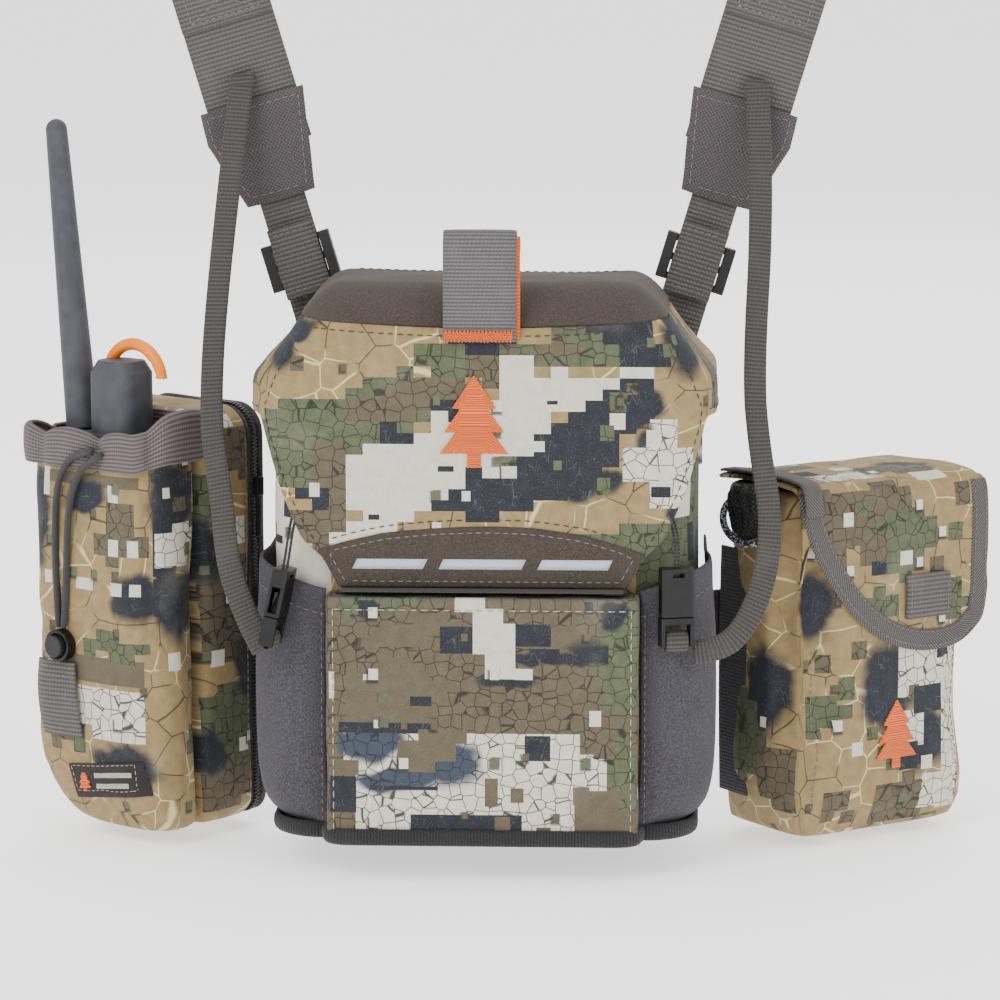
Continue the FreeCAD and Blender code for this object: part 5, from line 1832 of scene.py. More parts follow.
def make_patch(side, label, place):
    """Canvas wrapped round the strap's foot, wider at the top, with one clipped corner."""
    rows, uvs = [], []
    for i in range(23):
        t = i / 22
        near = 15 + 8 * t
        far = 15 + 9 * min(t / 0.68, 1.0) - 1.0 * max(0.0, (t - 0.68) / 0.32)
        z = 46.2 + 43.4 * t
        row, row_uv = [], []
        for j in range(23):
            s = -1 + 2 * j / 22
            x = -side * (near * (1 - s) / 2 - far * (1 + s) / 2)
            rim = min(1 - abs(s), t, 1 - t)
            y = -9.0 - 1.3 * smooth_step(rim, 0.0, 0.12) - 0.5 * math.exp(-((abs(x) - 19) / 3) ** 2)
            row.append((x, y, z + 0.6 * math.sin(math.pi * (s + 1) / 2) * (1 if t > 0.5 else -1)))
            row_uv.append((x * MM, z * MM))
        rows.append(row)
        uvs.append(row_uv)
    patch = grid_piece(label + "_strap_patch", rows, place, uvs=uvs)
    if patch.data.polygons[0].normal.y > 0:
        patch.data.flip_normals()
    ripple(patch, 0.8, 14.0, 11.0 + side)
    thicken(patch, 4.6)
    soften_edges(patch, 1.1, 3, 50)
    finish_piece(settle(patch), PATCH_CANVAS, "pack", ["strap_patches"])
    surface = tree_of(patch)
    loop = [(-side * 12.2, 49), (-side * 20, 86.8), (side * 20.4, 87.2), (side * 21, 76), (side * 12.4, 49.6)]
    loop = [place @ Vector((x, -11, z)) for x, z in loop + loop[:1]]
    sew(label + "_patch_stitching", [(loop, surface)], GREY_THREAD, "pack", stitch=2.6, gap=1.0, thick=0.45)


# ---- buckles and the tethers' ends ----
def buckle_place(centre, turn, tilt):
    return move(*centre) @ rotation(math.radians(tilt), "Y") @ rotation(math.radians(turn), "Z")


def make_buckles():
    for label, centre, turn, tilt in (("left", (-84.6, -97.6, -13.0), 78, 12),
                                      ("right", (79.6, -98.2, -12.0), 15, 0)):
        for part in ("cup", "plug", "inner_prong", "outer_prong"):
            rounded_copy(label + "_buckle_" + part, BLACK_PLASTIC,
                         0.45 if part == "cup" else 0.3)
        place = buckle_place(centre, turn, tilt)
        loop = [(2.0, -9.8), (2.4, -12.6), (2.4, -14.6), (1.5, -16.6), (0.0, -17.3), (-1.5, -16.6),
                (-2.4, -14.6),
                (-2.4, -12.6), (-1.4, -10.6), (0.4, -9.6)]
        fold = local_ribbon(label + "_tether_fold", loop, place, 9.6, 1.3, spacing=0.8)
        finish_piece(fold, DARK_WEBBING, "pack", ["tether_ends"])
    for label, x, z, lean in (("left", -105.6, 198.6, -5), ("right", 112.0, 196.6, 5)):
        place = move(x, 0, z) @ rotation(math.radians(lean), "Y")
        path = [(-8.4, -0.4), (-10.2, 1.4), (-12.6, 1.7), (-14.2, 0.4), (-15.4, -2.4)]
        root = local_ribbon(label + "_tether_root", path, place, 10.2, 1.5, spacing=0.7)
        finish_piece(root, DARK_WEBBING, "pack", ["tether_ends"])


def make_straps():
    for side in (-1, 1):
        make_strap(side)
    for side in ("left", "right"):
        rounded_copy(side + "_strap_slider", DARK_PLASTIC, 0.8, 3)
    repaint("strap_rings", RING_METAL)
    make_buckles()


# ---- padding ----
def inflate(piece, cap, voxel=4.5, pressure=4.0, frames=20):
    """Swell a closed form as filled cloth swells, no point moving further than cap."""
    remesh = piece.modifiers.new("Remesh", "REMESH")
    remesh.mode = "VOXEL"
    remesh.voxel_size = voxel * MM
    remesh.use_smooth_shade = True
    settle(piece)
    start = [v.co.copy() for v in piece.data.vertices]
    cloth = piece.modifiers.new("Cloth", "CLOTH")
    cloth.settings.quality = 5
    cloth.settings.use_pressure = True
    cloth.settings.uniform_pressure_force = pressure
    cloth.settings.effector_weights.gravity = 0.0
    scene = bpy.context.scene
    for i in range(1, frames + 1):
        scene.frame_set(i)
    settle(piece)
    scene.frame_set(1)
    for v, before in zip(piece.data.vertices, start):
        shift = v.co - before
        if shift.length > cap * MM:
            v.co = before + shift * (cap * MM / shift.length)
    return piece


def clear_above(piece, place, height):
    """Cut a piece off at a local height and drop what is above it."""
    shape = bmesh.new()
    shape.from_mesh(piece.data)
    faces = shape.verts[:] + shape.edges[:] + shape.faces[:]
    top = place @ Vector((0, 0, height)) * MM
    bmesh.ops.bisect_plane(shape, geom=faces, plane_co=top, plane_no=(0, 0, 1), clear_outer=True)
    shape.to_mesh(piece.data)
    shape.free()
    return piece


def wrap_uv(piece, place, outline, shift=0.0):
    """UVs round an outline, from the middle of its front, and up."""
    back = place.inverted()
    around = [0.0]
    for a, b in zip(outline, outline[1:]):
        around.append(around[-1] + math.dist(a, b))

    def across(p):
        q = back @ p
        best, where = 1e9, 0.0
        for k in range(len(outline) - 1):
            (ax, ay), (bx, by) = outline[k], outline[k + 1]
            run = around[k + 1] - around[k]
            t = ((q.x - ax) * (bx - ax) + (q.y - ay) * (by - ay)) / max(run * run, 1e-9)
            t = min(max(t, 0.0), 1.0)
            far = math.hypot(q.x - ax - (bx - ax) * t, q.y - ay - (by - ay) * t)
            if far < best:
                best, where = far, around[k] + run * t
        return where - around[-1] / 2 + shift, q.z

    return paint_uv(piece, across, around[-1])


# ---- radio pouch ----
RADIO_LEVELS = [(-121.0, 24, 9, 14), (-116, 15, 5, 14), (-108, 8.5, 2.4, 14), (-97, 3.5, 1.0, 12),
                (-84, 0.6, 0.4, 11),
                (-30, 0.4, 0.4, 11), (47.0, 0.6, 0.6, 11)]


def make_radio_pocket():
    camo_radio = camo("camo_radio", [
        ("box:plain brown", [(0, 31.6, 30, 2.6), (12, -50, 20, 5.6), (-12, -70, 9, 8), (-30, -52, 6, 6)]),
        ("step:brown", [(120, -26, 18, 26), (126, 40, 12, 12), (118, -104, 16, 12), (20, 10, 11, 14),
                        (-28, -60, 10, 12), (78, -18, 14, 22), (-14, -78, 8, 8)]),
        ("step:green", [(122, -76, 20, 18), (108, 20, 10, 14), (17, -39, 17, 6), (74, -60, 14, 30),
                        (-30, 18, 6, 8), (-4, -82, 7, 6), (42, 36, 8, 5)]),
        ("soft:slate", [(106, -2, 9, 14), (130, -54, 8, 14), (108, -90, 9, 10), (-27, 12, 9, 20),
                        (2, 24, 12, 6), (29, -18, 12, 11), (22, -90, 20, 9, -12), (48, 24, 14, 16),
                        (52, -22, 16, 14, 30), (88, 30, 12, 16), (44, -6, 6, 16), (96, -40, 8, 20)]),
        ("box:slate", [(42, 4, 5, 12), (49, -17, 12, 8), (66, 30, 8, 5), (80, 6, 5, 7)]),
        ("box:white cells", [(116, 56, 9, 5), (124, 6, 6, 6), (12, -66, 20, 8.4), (18, -73, 14, 7),
                             (47, 3, 9, 7.4), (54, 9, 7, 5), (68, 22, 6, 12),
                             (-18, -50, 3, 3)]),
        ("box:white", [(112, -48, 4, 3.6), (128, -88, 3, 3), (18, 26.6, 2.8, 3.6), (18, 3.6, 2.6, 3.6),
                       (27, 3.6, 2.4, 3.6), (0.6, -13.4, 4.8, 2.5),
                       (19.6, -14, 2.8, 2.8), (28, -14, 2.4, 2.6), (-28, -12.6, 1.8, 2.4),
                       (-20, -12.2, 2.2, 2.8),
                       (47, -45, 3.2, 3.8), (68, -62, 4, 4), (80, -70, 3.4, 3.4), (-20.5, 29, 1.7, 6)]),
        ("box:green", [(72, -34, 4, 4), (60, -80, 3.4, 6), (-34, 28, 4, 4)]),
        ("box:brown", [(58, -84, 3, 3), (52, 22, 4, 3), (64, 14, 6, 3)]),
    ], 5.0)
    levels = []
    for z, side, front, r in levels_between(RADIO_LEVELS, 7.0):
        levels.append((z, rounded_outline(-5.4 + side, 69.2, 0.8 + front, 33.4, r, 5, 6, 10, 5)))
    pocket = loft_piece("radio_pocket_cover", levels, RADIO_PLACE, True, True)
    inflate(pocket, 3.2)
    clear_above(pocket, RADIO_PLACE, 43.0)
    subdivide(pocket)
    settle(pocket)
    shape_seams(pocket)
    outline = rounded_outline(-6, 70, 0, 34, 11, 5, 6, 10, 5)
    wrap_uv(pocket, RADIO_PLACE, outline)
    add_lining(pocket, 1.2)
    settle(pocket)
    finish_lined(pocket, camo_radio, SOFT_LID, "pack", ["radio_pocket"])
    make_radio_case(camo_radio)
    return pocket


def shape_seams(pocket):
    """Pull the pocket in along its gusset seam and crease it under the elastic."""
    back = RADIO_PLACE.inverted()
    for v in pocket.data.vertices:
        q = back @ (v.co / MM)
        seam = math.exp(-((q.x + q.y - 68.5) / 1.3) ** 2) if q.x > 60 and q.y < 12 else 0.0
        seam += 0.8 * math.exp(-((q.y - 31.5) / 1.2) ** 2) if q.x > 50 else 0.0
        fold = 1.4 * math.sin(q.x * 0.16 + q.z * 0.05) * math.sin(q.z * 0.045 + q.x * 0.06)
        fold *= smooth_step(q.z, -100, -60) * smooth_step(40 - q.z, 0, 16)
        v.co += v.normal * (fold * 0.6 - 1.1 * seam) * MM
    pocket.data.update()


def make_radio_case(material):
    """The zipped case behind the pocket, its zip and its back panel."""
    turned = RADIO_PLACE @ Matrix(((1, 0, 0, 0), (0, 0, 1, 0), (0, 1, 0, 0), (0, 0, 0, 1)))
    levels = []
    for depth, inset in ((34.6, 7), (34.9, 3.5), (36.2, 1.2), (39, 0.3), (46, 0), (54, -0.4), (61, -0.1),
                         (63.6, 0.6),
                         (64.0, 2.2)):
        levels.append((depth, case_outline(inset)))
    case = loft_piece("radio_case_cover", levels, turned, True, True)
    ripple(case, 1.0, 26.0, 3.0)
    subdivide(case)
    settle(case)
    back = RADIO_PLACE.inverted()

    def across(p):
        q = back @ p
        if q.z > 54:
            return 70 + q.y, q.z + (69 - q.x) * 0.5
        return 70 + q.y, q.z
    paint_uv(case, across)
    finish_piece(case, material, "pack", ["radio_case"])
    levels = [(d, case_outline(i))
              for d, i in ((64.1, 2.6), (64.6, 1.4), (66.6, 1.0), (69.4, 1.4), (69.9, 2.4))]
    tape = loft_piece("radio_zip_cloth", levels, turned)
    thicken(tape, 1.0)
    finish_piece(settle(tape), ZIP_CLOTH, "pack", ["radio_zip_tape"])
    levels = [(70.1, case_outline(6)), (70.2, case_outline(1.6)), (71.2, case_outline(0.2)),
              (73.0, case_outline(0.2)),
              (73.9, case_outline(1.6)), (74.0, case_outline(8))]
    plate = loft_piece("radio_back_cover", levels, turned, True, True)
    ripple(plate, 0.5, 20.0, 4.0)
    finish_piece(settle(subdivide(plate)), BACK_CLOTH, "pack", ["radio_back_panel"])
    line = []
    outline = case_outline(0.7)
    for x, z in outline[len(outline) // 8:] + outline[:1]:
        line.append(RADIO_PLACE @ Vector((x, 67.0, z)))
    middle = RADIO_PLACE @ Vector((35, 67, -26))
    away = RADIO_PLACE.to_3x3() @ Vector((0, 1, 0))

    def outward(p):
        out = p - middle
        return (out - away * out.dot(away)).normalized()
    small_blocks("radio_zip_teeth", coil_teeth(line, outward, 1.6, 2.6, 1.2), ZIP_TEETH, "pack")
    rounded_copy("radio_zip_slider", BLACK_PLASTIC, 0.4)
    seam = [RADIO_PLACE @ Vector((70, 61.4, z)) for z in (-92, -40, 20, 48)]
    sew("radio_case_stitching", [(seam, tree_of(case))], GREY_THREAD, "pack", stitch=2.2, gap=1.2)


def case_outline(inset):
    """The case seen from the front: x from 1 to 69, with round top corners and tapering foot."""
    outline = [(35, 59.5 - inset)]
    for cx, cz, r, first in ((15, 45.5, 14, 90), (22, -100, 21, 180), (60, -112, 9, 270), (55, 45.5, 14, 0)):
        for i in range(9):
            a = math.radians(first + 90 * i / 8)
            outline.append((cx + (r - inset) * math.cos(a), cz + (r - inset) * math.sin(a)))
    full = [outline[0]]
    for k, (a, b) in enumerate(zip(outline, outline[1:] + outline[:1])):
        count = {0: 3, 9: 16, 18: 5, 27: 16, 36: 3}.get(k, 1)
        full += [(a[0] + (b[0] - a[0]) * i / count, a[1] + (b[1] - a[1]) * i / count)
                 for i in range(1, count + 1)]
    return full


def make_radio_band():
    """Wide elastic round the pocket's mouth, gathered into soft humps."""
    humps = [(-52, -24), (-24, 8), (8, 36), (36, 74)]
    rows, uvs = [], []
    outline = rounded_outline(-6, 70, 0, 34, 11, 5, 8, 26, 12)
    around = [0.0]
    for a, b in zip(outline, outline[1:]):
        around.append(around[-1] + math.dist(a, b))
    for i in range(15):
        t = i / 14
        row, row_uv = [], []
        for (x, y), s in zip(outline, around):
            s -= around[-1] / 2
            swell, rise = 0.2, 0.0
            for low, high in humps:
                if low <= s <= high:
                    bow = math.sin(math.pi * (s - low) / (high - low))
                    swell = 2.6 * bow ** 0.5 - 2.4 * (1 - bow) ** 4
                    rise = 5.4 * bow ** 0.5 - 2.4
            cx, cy = 35 + (x - 35) * 0.2, 17 + (y - 17) * 0.2
            out = Vector((x - cx, y - cy)).normalized()
            lean = 0.7 + swell * (0.35 + 0.65 * math.sin(math.pi * (0.15 + 0.75 * t)))
            lean -= 3.2 * max(0.0, t - 0.82) / 0.18
            if y > 33:
                lean = 0.1
            pleat = 0.16 * math.sin(s * 2.6)
            climb = smooth_step(s, 26, 44)
            z = 35.5 + 4.0 * climb + (14.5 + rise + 5.0 * climb) * min(t / 0.9, 1.0)
            row.append((x + out.x * (lean + pleat), y + out.y * (lean + pleat), z))
            row_uv.append((s * MM, 17 * t * MM))
        rows.append(row)
        uvs.append(row_uv)
    band = close_band(grid_piece("radio_elastic", rows, RADIO_PLACE, uvs=uvs))
    thicken(band, 1.6)
    subdivide(band)
    finish_piece(settle(band), ELASTIC, "pack", ["radio_pocket_band"])


def close_band(piece):
    """Weld the seam of a ring-shaped sheet."""
    shape = bmesh.new()
    shape.from_mesh(piece.data)
    bmesh.ops.remove_doubles(shape, verts=shape.verts, dist=1e-6)
    bmesh.ops.recalc_face_normals(shape, faces=shape.faces)
    shape.to_mesh(piece.data)
    shape.free()
    for polygon in piece.data.polygons:
        polygon.use_smooth = True
    return piece


def make_radio_fittings(pocket):
    surface = tree_of(pocket)
    front = RADIO_PLACE.to_3x3() @ Vector((0, -1, 0))

    def on_face(x, z, lift):
        p = RADIO_PLACE @ Vector((x, -14, z))
        place, _, _, _ = surface.ray_cast(p * MM, -front)
        return (place / MM if place else RADIO_PLACE @ Vector((x, 0, z))) + front * lift

    rows, uvs = [], []
    for i in range(17):
        t = i / 16
        z = -81.0 + 32.6 * t
        curl = 1.3 + 1.8 * math.sin(math.pi * t) + 1.2 * t ** 3
        rows.append([on_face(7.4 + 24.0 * k / 10 - 3.4 * t, z + 0.05 * (k - 5), curl) for k in range(11)])
        uvs.append([(24.0 * k / 10 * MM, z * MM) for k in range(11)])
    tab = grid_piece("radio_tab_webbing", rows, uvs=uvs)
    thicken(tab, 1.4)
    soften_edges(tab, 0.4, 2, 60)
    settle(tab)
    finish_piece(tab, GREY_WEBBING, "pack", ["radio_pocket_tab"])
    tab_tree = tree_of(tab)
    runs = [([on_face(x, z, 6.0) for x in (8.5, 26.5)], tab_tree) for z in (-54, -78)]
    sew("radio_tab_stitching", runs, GREY_THREAD, "pack", stitch=1.8, gap=0.8)

    turn = RADIO_PLACE @ move(43, 0, -98) @ rotation(math.radians(-8), "Y")
    rows, uvs = [], []
    for i in range(9):
        row, row_uv = [], []
        for k in range(19):
            q = turn @ Vector((-21 + 42 * k / 18, -14, -7.6 + 15.2 * i / 8))
            place, _, _, _ = surface.ray_cast(q * MM, -front)
            row.append((place / MM if place else q) + front * 1.0)
            row_uv.append((42 * k / 18 * MM, 15.2 * i / 8 * MM))
        rows.append(row)
        uvs.append(row_uv)
    label = grid_piece("radio_label_cloth", rows, uvs=uvs)
    thicken(label, 0.9)
    soften_edges(label, 0.3, 2, 60)
    settle(label)
    finish_piece(label, canvas("label_weave", rgb(54, 46, 48), 0.9), "pack", ["radio_pocket_label"])
    label_tree = tree_of(label)
    frame_line = [turn @ Vector((x, -6, z))
                  for x, z in ((-19.4, -6.1), (19.4, -6.1), (19.4, 6.1), (-19.4, 6.1), (-19.4, -6.1))]
    sew("radio_label_stitching", [(frame_line, label_tree)], PALE_THREAD, "pack", stitch=1.9, gap=1.0,
        thick=0.4)
    bars = []
    for x, z, half in ((4.5, 2.4, 11.0), (3.0, -2.4, 9.5)):
        p = turn @ Vector((x, -6, z))
        place, _, _, _ = label_tree.ray_cast(p * MM, -front)
        bars.append(((place / MM if place else p) + front * 0.1, (half, 0.16, 1.1), turn.to_3x3()))
    small_blocks("radio_label_bars", bars, PALE_THREAD, "pack", round_off=0.1)
    place, _, _, _ = label_tree.ray_cast((turn @ Vector((-13.0, -6, 0))) * MM, -front)
    spot = place / MM if place else turn @ Vector((-11, -3, 0))
    make_crest("label_crest", move(*(spot + front * 0.3)) @ turn.to_3x3().to_4x4(), "pack", 0.36)
    rounded_copy("cord_lock", BLACK_PLASTIC, 0.7, 3)
    rounded_copy("cord_lock_button", DARK_PLASTIC, 0.6, 3)


def make_handheld():
    """The handheld: its neck is narrower than in the CAD, and its antenna stands further left."""
    neck_foot, neck_left, neck_right = 48, 26, 57
    neck_middle, new_middle, narrowed = 41.5, 38.5, 0.8
    antenna_shift = 4.0
    body = rounded_copy("handheld_radio", RADIO_RUBBER, 2.2, 4)
    antenna = rounded_copy("handheld_antenna", RADIO_RUBBER, 0.8, 2, 40)
    back = RADIO_PLACE.inverted()
    for v in body.data.vertices:
        q = back @ (v.co / MM)
        if q.z > neck_foot and neck_left < q.x < neck_right:
            q.x = new_middle + (q.x - neck_middle) * narrowed
            v.co = RADIO_PLACE @ q * MM
    for v in antenna.data.vertices:
        q = back @ (v.co / MM)
        q.x -= antenna_shift
        v.co = RADIO_PLACE @ q * MM
    rounded_copy("handheld_grip_loop", ORANGE_PLASTIC, 0.5, 2, 40)


# ---- range pouch ----
FLAP_EDGE = [(-2, 27.5), (-1.4, 20), (1, 11), (5.5, 1), (12, -9), (21, -21), (33, -32), (45, -39), (58, -43),
             (71, -44), (83, -42),
             (92, -36), (96, -30), (98, -14), (98, 6), (98, 27.5)]


def make_range_pouch():
    cloth = camo("camo_range", [
        ("soft:slate", [(-2, -57, 15, 20), (20, -83, 10, 15), (-40, -20, 10, 16), (34, -34, 10, 12),
                        (60, -30, 14, 20),
                        (78, -80, 14, 18), (-66, -60, 12, 20)]),
        ("step:brown", [(7, -110, 18, 12), (-30, -106, 8, 8), (66, -100, 16, 14), (-60, -96, 14, 12)]),
        ("step:green", [(44, -73, 4, 22), (56, -62, 12, 18), (-36, -70, 7, 10), (84, -40, 10, 18),
                        (-80, -80, 12, 18)]),
        ("box:white cells", [(16, -49, 13, 15), (34, -80, 6, 36), (24, -107, 6, 8), (12, -78, 6, 8),
                             (70, -58, 8, 12)]),
        ("box:white", [(29, -62, 4, 4), (20, -94, 3, 3), (-18, -84, 3, 3), (38, -60, 3, 3)]),
        ("box:green", [(-24, -57, 4, 5), (-25, -67, 4, 3), (-3, -87, 4, 3), (2, -92, 4, 3.4),
                       (-10, -78, 3, 3)]),
        ("box:brown", [(-18, -41, 4, 4), (-20, -114, 4, 3), (-34, -46, 3, 4), (12, -62, 3, 3)]),
        ("box:slate", [(20, -66, 8, 6), (30, -44, 5, 5), (10, -90, 5, 6)]),
    ], 9.0)
    levels = []
    stops = [(-125.0, 9, 9, 9), (-122, 4, 4, 9), (-116, 1.8, 1.8, 8), (-104, 0.7, 0.7, 7), (20, 0.5, 0.5, 7),
             (28.4, 0.9, 0.9, 7)]
    for z, side, front, r in levels_between(stops, 8.0):
        levels.append((z, rounded_outline(side, 95 - side, front, 57.4, r, 5, 5, 14, 9)))
    body = loft_piece("range_body_cover", levels, RANGE_PLACE, True, True)
    inflate(body, 3.4)
    back = RANGE_PLACE.inverted()
    for v in body.data.vertices:
        q = back @ (v.co / MM)
        edge = math.exp(-((q.x - 1.5) / 2.4) ** 2) if q.y < 30 else 0.0
        sag = 0.9 * math.sin(q.x * 0.08 + 1) * math.sin(q.z * 0.05 + q.x * 0.02) * smooth_step(q.z, -123, -98)
        v.co += v.normal * (sag - 0.5 * edge) * MM
        if q.z > 22:
            v.co.z -= smooth_step(q.z, 22, 32) * 2.6 * MM
        if q.z < -116:
            v.co.z += smooth_step(-q.z, 116, 126) * 1.4 * MM
    body.data.update()
    clear_above(body, RANGE_PLACE, 27.0)
    subdivide(body)
    settle(body)
    wrap_uv(body, RANGE_PLACE, rounded_outline(0, 95, 0, 58, 7, 5, 5, 14, 9))
    add_lining(body, 1.8)
    settle(body)
    finish_lined(body, cloth, SOFT_LID, "pack", ["range_pouch"])
    surface = tree_of(body)
    front = RANGE_PLACE.to_3x3() @ Vector((0, -1, 0))
    seams = [[RANGE_PLACE @ Vector((x, -8, z)) for z in (-40, -80, -116)] for x in (4.5, 90.5)]
    sew("range_body_stitching", [(line, surface) for line in seams], GREY_THREAD, "pack", stitch=2.2, gap=1.2)
    where, _, _, _ = surface.ray_cast((RANGE_PLACE @ Vector((50, -14, -80))) * MM, -front)
    spot = where / MM + front * 0.5
    make_crest("range_crest", move(*spot) @ RANGE_PLACE.to_3x3().to_4x4(), "pack", 1.15)
    make_range_strip()
    make_range_flap()


def make_range_strip():
    """Webbing tape down the pouch's near side."""
    rows, uvs = [], []
    for i in range(28):
        z = -107.5 + 107.0 * i / 27
        bow = 0.8 * math.sin(math.pi * (i / 27))
        rows.append([RANGE_PLACE @ Vector((-1.9 - bow, 34.2 + 19.6 * k / 8, z)) for k in range(9)])
        uvs.append([(19.6 * k / 8 * MM, z * MM) for k in range(9)])
    strip = grid_piece("range_side_tape", rows, uvs=uvs)
    if strip.data.polygons[0].normal.dot(RANGE_PLACE.to_3x3() @ Vector((1, 0, 0))) > 0:
        strip.data.flip_normals()
    thicken(strip, 1.2)
    soften_edges(strip, 0.3, 2, 60)
    finish_piece(settle(strip), webbing("dark_side_tape", rgb(46, 46, 50), 1.5, 1.6), "pack",
                 ["range_side_strip"])


def flap_drop(x):
    """How low the flap reaches at a given distance along the front."""
    for (ax, az), (bx, bz) in zip(FLAP_EDGE[1:], FLAP_EDGE[2:]):
        if ax <= x <= bx and bx > ax:
            t = (x - ax) / (bx - ax)
            return az + (bz - az) * t
    return -14.0


def make_range_flap():
    cloth = camo("camo_flap", [
        ("soft:slate", [(6, 66, 10, 8), (70, 50, 12, 14)]),
        ("step:brown", [(30, 16, 24, 14), (45, 10, 17, 20), (60, 46, 16, 10), (26, 70, 12, 8),
                        (14, 2, 8, 10)]),
        ("step:green", [(55, 4, 15, 18), (78, -22, 10, 9), (36, -22, 9, 8)]),
        ("box:white cells", [(30, 42, 13, 6), (66, -22, 8, 6)]),
        ("box:white", [(53, -3, 3.4, 3), (70, 34, 8, 4), (40, 56, 5, 3), (22, 16, 2.6, 3)]),
        ("box:brown", [(6, 22, 8, 8), (70, -8, 4, 4), (84, 22, 4, 5)]),
        ("box:green", [(30, 20, 4, 3), (80, 6, 4, 4)]),
        ("box:slate", [(38, -6, 4, 3), (18, 54, 6, 5)]),
    ], 12.0)
    rows, uvs = [], []
    columns = 34
    for k in range(columns + 1):
        x = -2 + 100 * k / columns
        low = flap_drop(min(max(x, -1.9), 97.9))
        column, column_uv = [], []
        line = smooth_line([(0, 57, 30.8), (0, 40, 31.9), (0, 20, 32.3), (0, 4, 31.2), (0, -1.4, 28.4),
                            (0, -3.4, 22),
                            (0, -4.0, 6), (0, -4.1, low * 0.5), (0, -4.0, low)], 5)
        line = even_line(line, 2.6)
        count = 40
        for i in range(count + 1):
            f = i / count * (len(line) - 1)
            n = min(int(f), len(line) - 2)
            p = Vector(line[n]).lerp(Vector(line[n + 1]), f - n)
            puff = 0.7 * math.sin(math.pi * min(max((x + 2) / 100, 0), 1)) * (1 if p.y < 2 else 0.3)
            edge = 0.5 * math.exp(-((x + 2) / 3.0) ** 2) + 2.0 * math.exp(-((98 - x) / 3.0) ** 2)
            column.append(Vector((x, p.y - (puff if p.y < 2 else 0), p.z - edge * smooth_step(p.y, -2, 6))))
            column_uv.append((x * MM, (p.z if p.y < 0 else 31 + p.y) * MM))
        rows.append(column)
        uvs.append(column_uv)
    flap = grid_piece("range_flap_cover", rows, RANGE_PLACE, uvs=uvs)
    top = max(flap.data.polygons, key=lambda f: f.center.z)
    if top.normal.z < 0:
        flap.data.flip_normals()
    ripple(flap, 0.7, 20.0, 6.0)
    add_lining(flap, 2.2)
    subdivide(flap)
    settle(flap)
    finish_lined(flap, cloth, SOFT_LID, "range_lid", ["range_flap"])
    surface = tree_of(flap)
    make_flap_binding(surface)
    make_flap_fittings()


def make_flap_binding(surface):
    """Herringbone tape sewn round the flap's free edge."""
    line = smooth_line([(x, 0.0, z) for x, z in FLAP_EDGE], 8)
    line = even_line(line, 1.5)
    rows, uvs = [], []
    run = 0.0
    for n, p in enumerate(line):
        p = Vector(p)
        ahead = (Vector(line[min(n + 1, len(line) - 1)]) - Vector(line[max(n - 1, 0)])).normalized()
        inward = Vector((-ahead.z, 0, ahead.x))
        if inward.dot(Vector((45, 0, 30)) - p) < 0:
            inward = -inward
        run += 1.5 if n else 0.0
        row, row_uv = [], []
        for k in range(9):
            q = p + inward * (-0.5 + 9.4 * k / 8)
            q.x = min(max(q.x, -2.6), 98.6)
            outside = RANGE_PLACE @ Vector((min(max(q.x, -1.6), 97.6), -14, q.z))
            place, _, _, _ = surface.ray_cast(outside * MM, RANGE_PLACE.to_3x3() @ Vector((0, 1, 0)))
            depth = (RANGE_PLACE.inverted() @ (place / MM)).y if place else -4.0
            if depth > 6 or place is None:
                depth = -4.2
            row.append(Vector((q.x, depth - (0.9 if 0 < k < 8 else 0.5), q.z)))
            row_uv.append((9.4 * k / 8 * MM, run * MM))
        rows.append(row)
        uvs.append(row_uv)
    for _ in range(3):
        for i in range(1, len(rows) - 1):
            for k in range(9):
                rows[i][k].y = (rows[i - 1][k].y + 2 * rows[i][k].y + rows[i + 1][k].y) / 4
    tape = grid_piece("range_flap_tape", rows, RANGE_PLACE, uvs=uvs)
    forward = RANGE_PLACE.to_3x3() @ Vector((0, -1, 0))
    if sum(f.normal.dot(forward) for f in tape.data.polygons) < 0:
        tape.data.flip_normals()
    thicken(tape, 1.5)
    soften_edges(tape, 0.35, 2, 60)
    finish_piece(settle(tape), BINDING_TAPE, "range_lid", ["range_flap_binding"])
    over = [(-5.2, 19), (-5.0, 25), (-2.6, 31.4), (4, 33.0), (20, 33.7), (40, 33.2), (55, 31.9)]
    edge = local_ribbon("range_flap_edge_tape", over, RANGE_PLACE, 9.4, 1.5, x=2.9)
    finish_piece(edge, BINDING_TAPE, "range_lid", ["range_flap_binding"])
    tape_tree = tree_of(tape)
    runs = []
    for inset in (1.4, 7.6):
        stitch_line = []
        for n in range(0, len(line), 4):
            p = Vector(line[n])
            ahead = (Vector(line[min(n + 1, len(line) - 1)]) - Vector(line[max(n - 1, 0)])).normalized()
            inward = Vector((-ahead.z, 0, ahead.x))
            if inward.dot(Vector((45, 0, 30)) - p) < 0:
                inward = -inward
            q = p + inward * inset
            stitch_line.append(RANGE_PLACE @ Vector((min(max(q.x, -1), 97), -9, q.z)))
        runs.append((stitch_line, tape_tree))
    sew("range_flap_stitching", runs, GREY_THREAD, "range_lid", stitch=1.8, gap=1.0, thick=0.4)


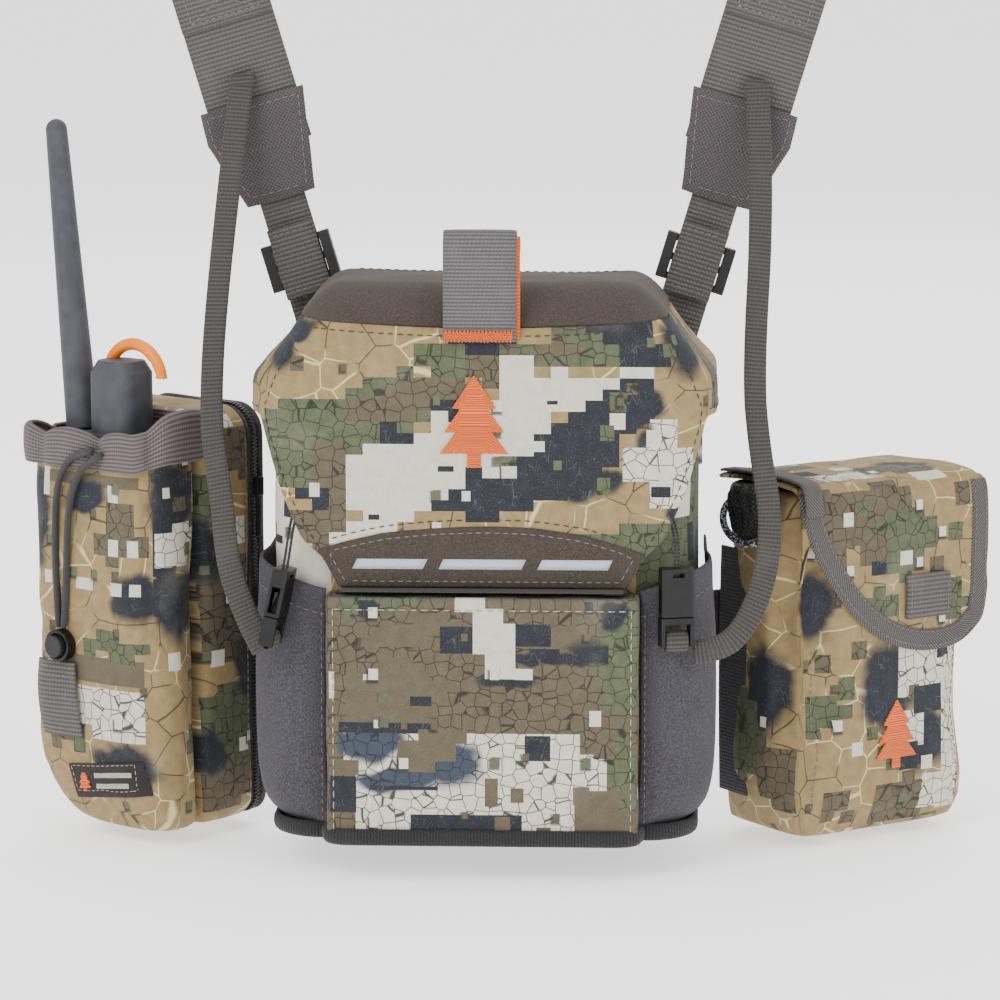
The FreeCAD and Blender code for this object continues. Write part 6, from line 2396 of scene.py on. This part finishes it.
def make_flap_fittings():
    rows, uvs = [], []
    for i in range(13):
        t = i / 12
        z = -29.6 + 19.2 * t
        rows.append([RANGE_PLACE @ Vector((52.2 + 23.6 * k / 10, -6.9 - 0.7 * math.sin(math.pi * t), z))
                     for k in range(11)])
        uvs.append([(23.6 * k / 10 * MM, z * MM) for k in range(11)])
    tab = grid_piece("range_tab_webbing", rows, uvs=uvs)
    forward = RANGE_PLACE.to_3x3() @ Vector((0, -1, 0))
    if tab.data.polygons[0].normal.dot(forward) < 0:
        tab.data.flip_normals()
    thicken(tab, 1.8)
    soften_edges(tab, 0.5, 2, 60)
    settle(tab)
    finish_piece(tab, GREY_WEBBING, "range_lid", ["range_flap_tab"])
    tab_tree = tree_of(tab)
    runs = [([RANGE_PLACE @ Vector((x, -12, z)) for z in (-27, -13)], tab_tree) for x in (54, 74)]
    sew("range_tab_stitching", runs, GREY_THREAD, "range_lid", stitch=1.8, gap=0.8)
    repaint("range_flap_magnet", MAGNET_METAL)
    make_hank()


def make_hank():
    """Braided shock tape bunched at the pouch's near edge."""
    turns = []
    for k, (y, low, top, lean) in enumerate(((11, 9, 27, 1.2), (15.8, 6, 29, 0.2), (20.6, 4.6, 29.6, -0.6),
                                             (25.4, 4, 29.6, -0.8),
                                             (30.2, 5, 29, -0.2), (35, 8, 27, 0.8))):
        for out, flip in ((-9.6 + lean, 1), (-5.6 + 0.3 * k, -1)):
            reach = top - low
            line = [RANGE_PLACE @ Vector((out + 0.9 * math.sin(math.pi * t * 1.0) * flip,
                                          y + 2.2 * math.sin(math.pi * t * 1.4 + k),
                                          low + reach * t)) * MM for t in (i / 12 for i in range(13))]
            turns.append(tube(f"hank_{k}_{flip}", line, 0.0026, 12))
    hank = join(turns, "range_braided_hank")
    finish_piece(hank, HANK_BRAID, "pack", ["braided_tape_hank"])


# ---- webs behind the pouches ----
def make_carriers():
    for label, place, wide, y in (("radio", RADIO_PLACE, (-6, 78), 75.9),
                                          ("range", RANGE_PLACE, (-4, 96), 59.9)):
        line = [place @ Vector((wide[0] + (wide[1] - wide[0]) * t / 8, y, -33.5)) * MM for t in range(9)]
        web = ribbon(label + "_side_web", line, 24.6, 1.5, across=Vector((0, 0, 1)))
        finish_piece(web, GREY_WEBBING, "pack", ["side_webs"])
        for k, share in enumerate((0.22, 0.68)):
            x = (70 if label == "radio" else 90) * share
            depth = 74 if label == "radio" else 58
            path = [(x, depth + 0.8, -11), (x, depth + 3.6, -10.4), (x, depth + 4.6, -16),
                    (x, depth + 4.7, -33),
                    (x, depth + 4.6, -51), (x, depth + 3.6, -56.4), (x, depth + 0.8, -56)]
            line = [place @ Vector(p) * MM for p in smooth_line(path, 6)]
            loop = ribbon(f"{label}_belt_loop_{k}", line, 13.6, 1.4,
                          across=(place.to_3x3() @ Vector((1, 0, 0))).normalized())
            finish_piece(loop, GREY_WEBBING, "pack", ["belt_loops"])


def make_small_parts():
    repaint("hood_magnets", MAGNET_METAL)
    repaint("body_magnets", MAGNET_METAL)
    repaint("back_foam", FOAM)
    rounded_copy("front_zip_slider", DARK_PLASTIC, 0.4)
    hinge = rounded_copy("hood_hinge_strip", SOFT_LID, 0.5)
    return hinge


def make_scene():
    make_stage()
    make_cords()
    make_shell()
    make_side_pocket(-1)
    make_side_pocket(1)
    make_front_pocket()
    make_base()
    make_back_panel()
    make_hood()
    make_straps()
    pocket = make_radio_pocket()
    make_radio_band()
    make_radio_fittings(pocket)
    make_handheld()
    make_range_pouch()
    make_carriers()
    make_small_parts()


make_scene()
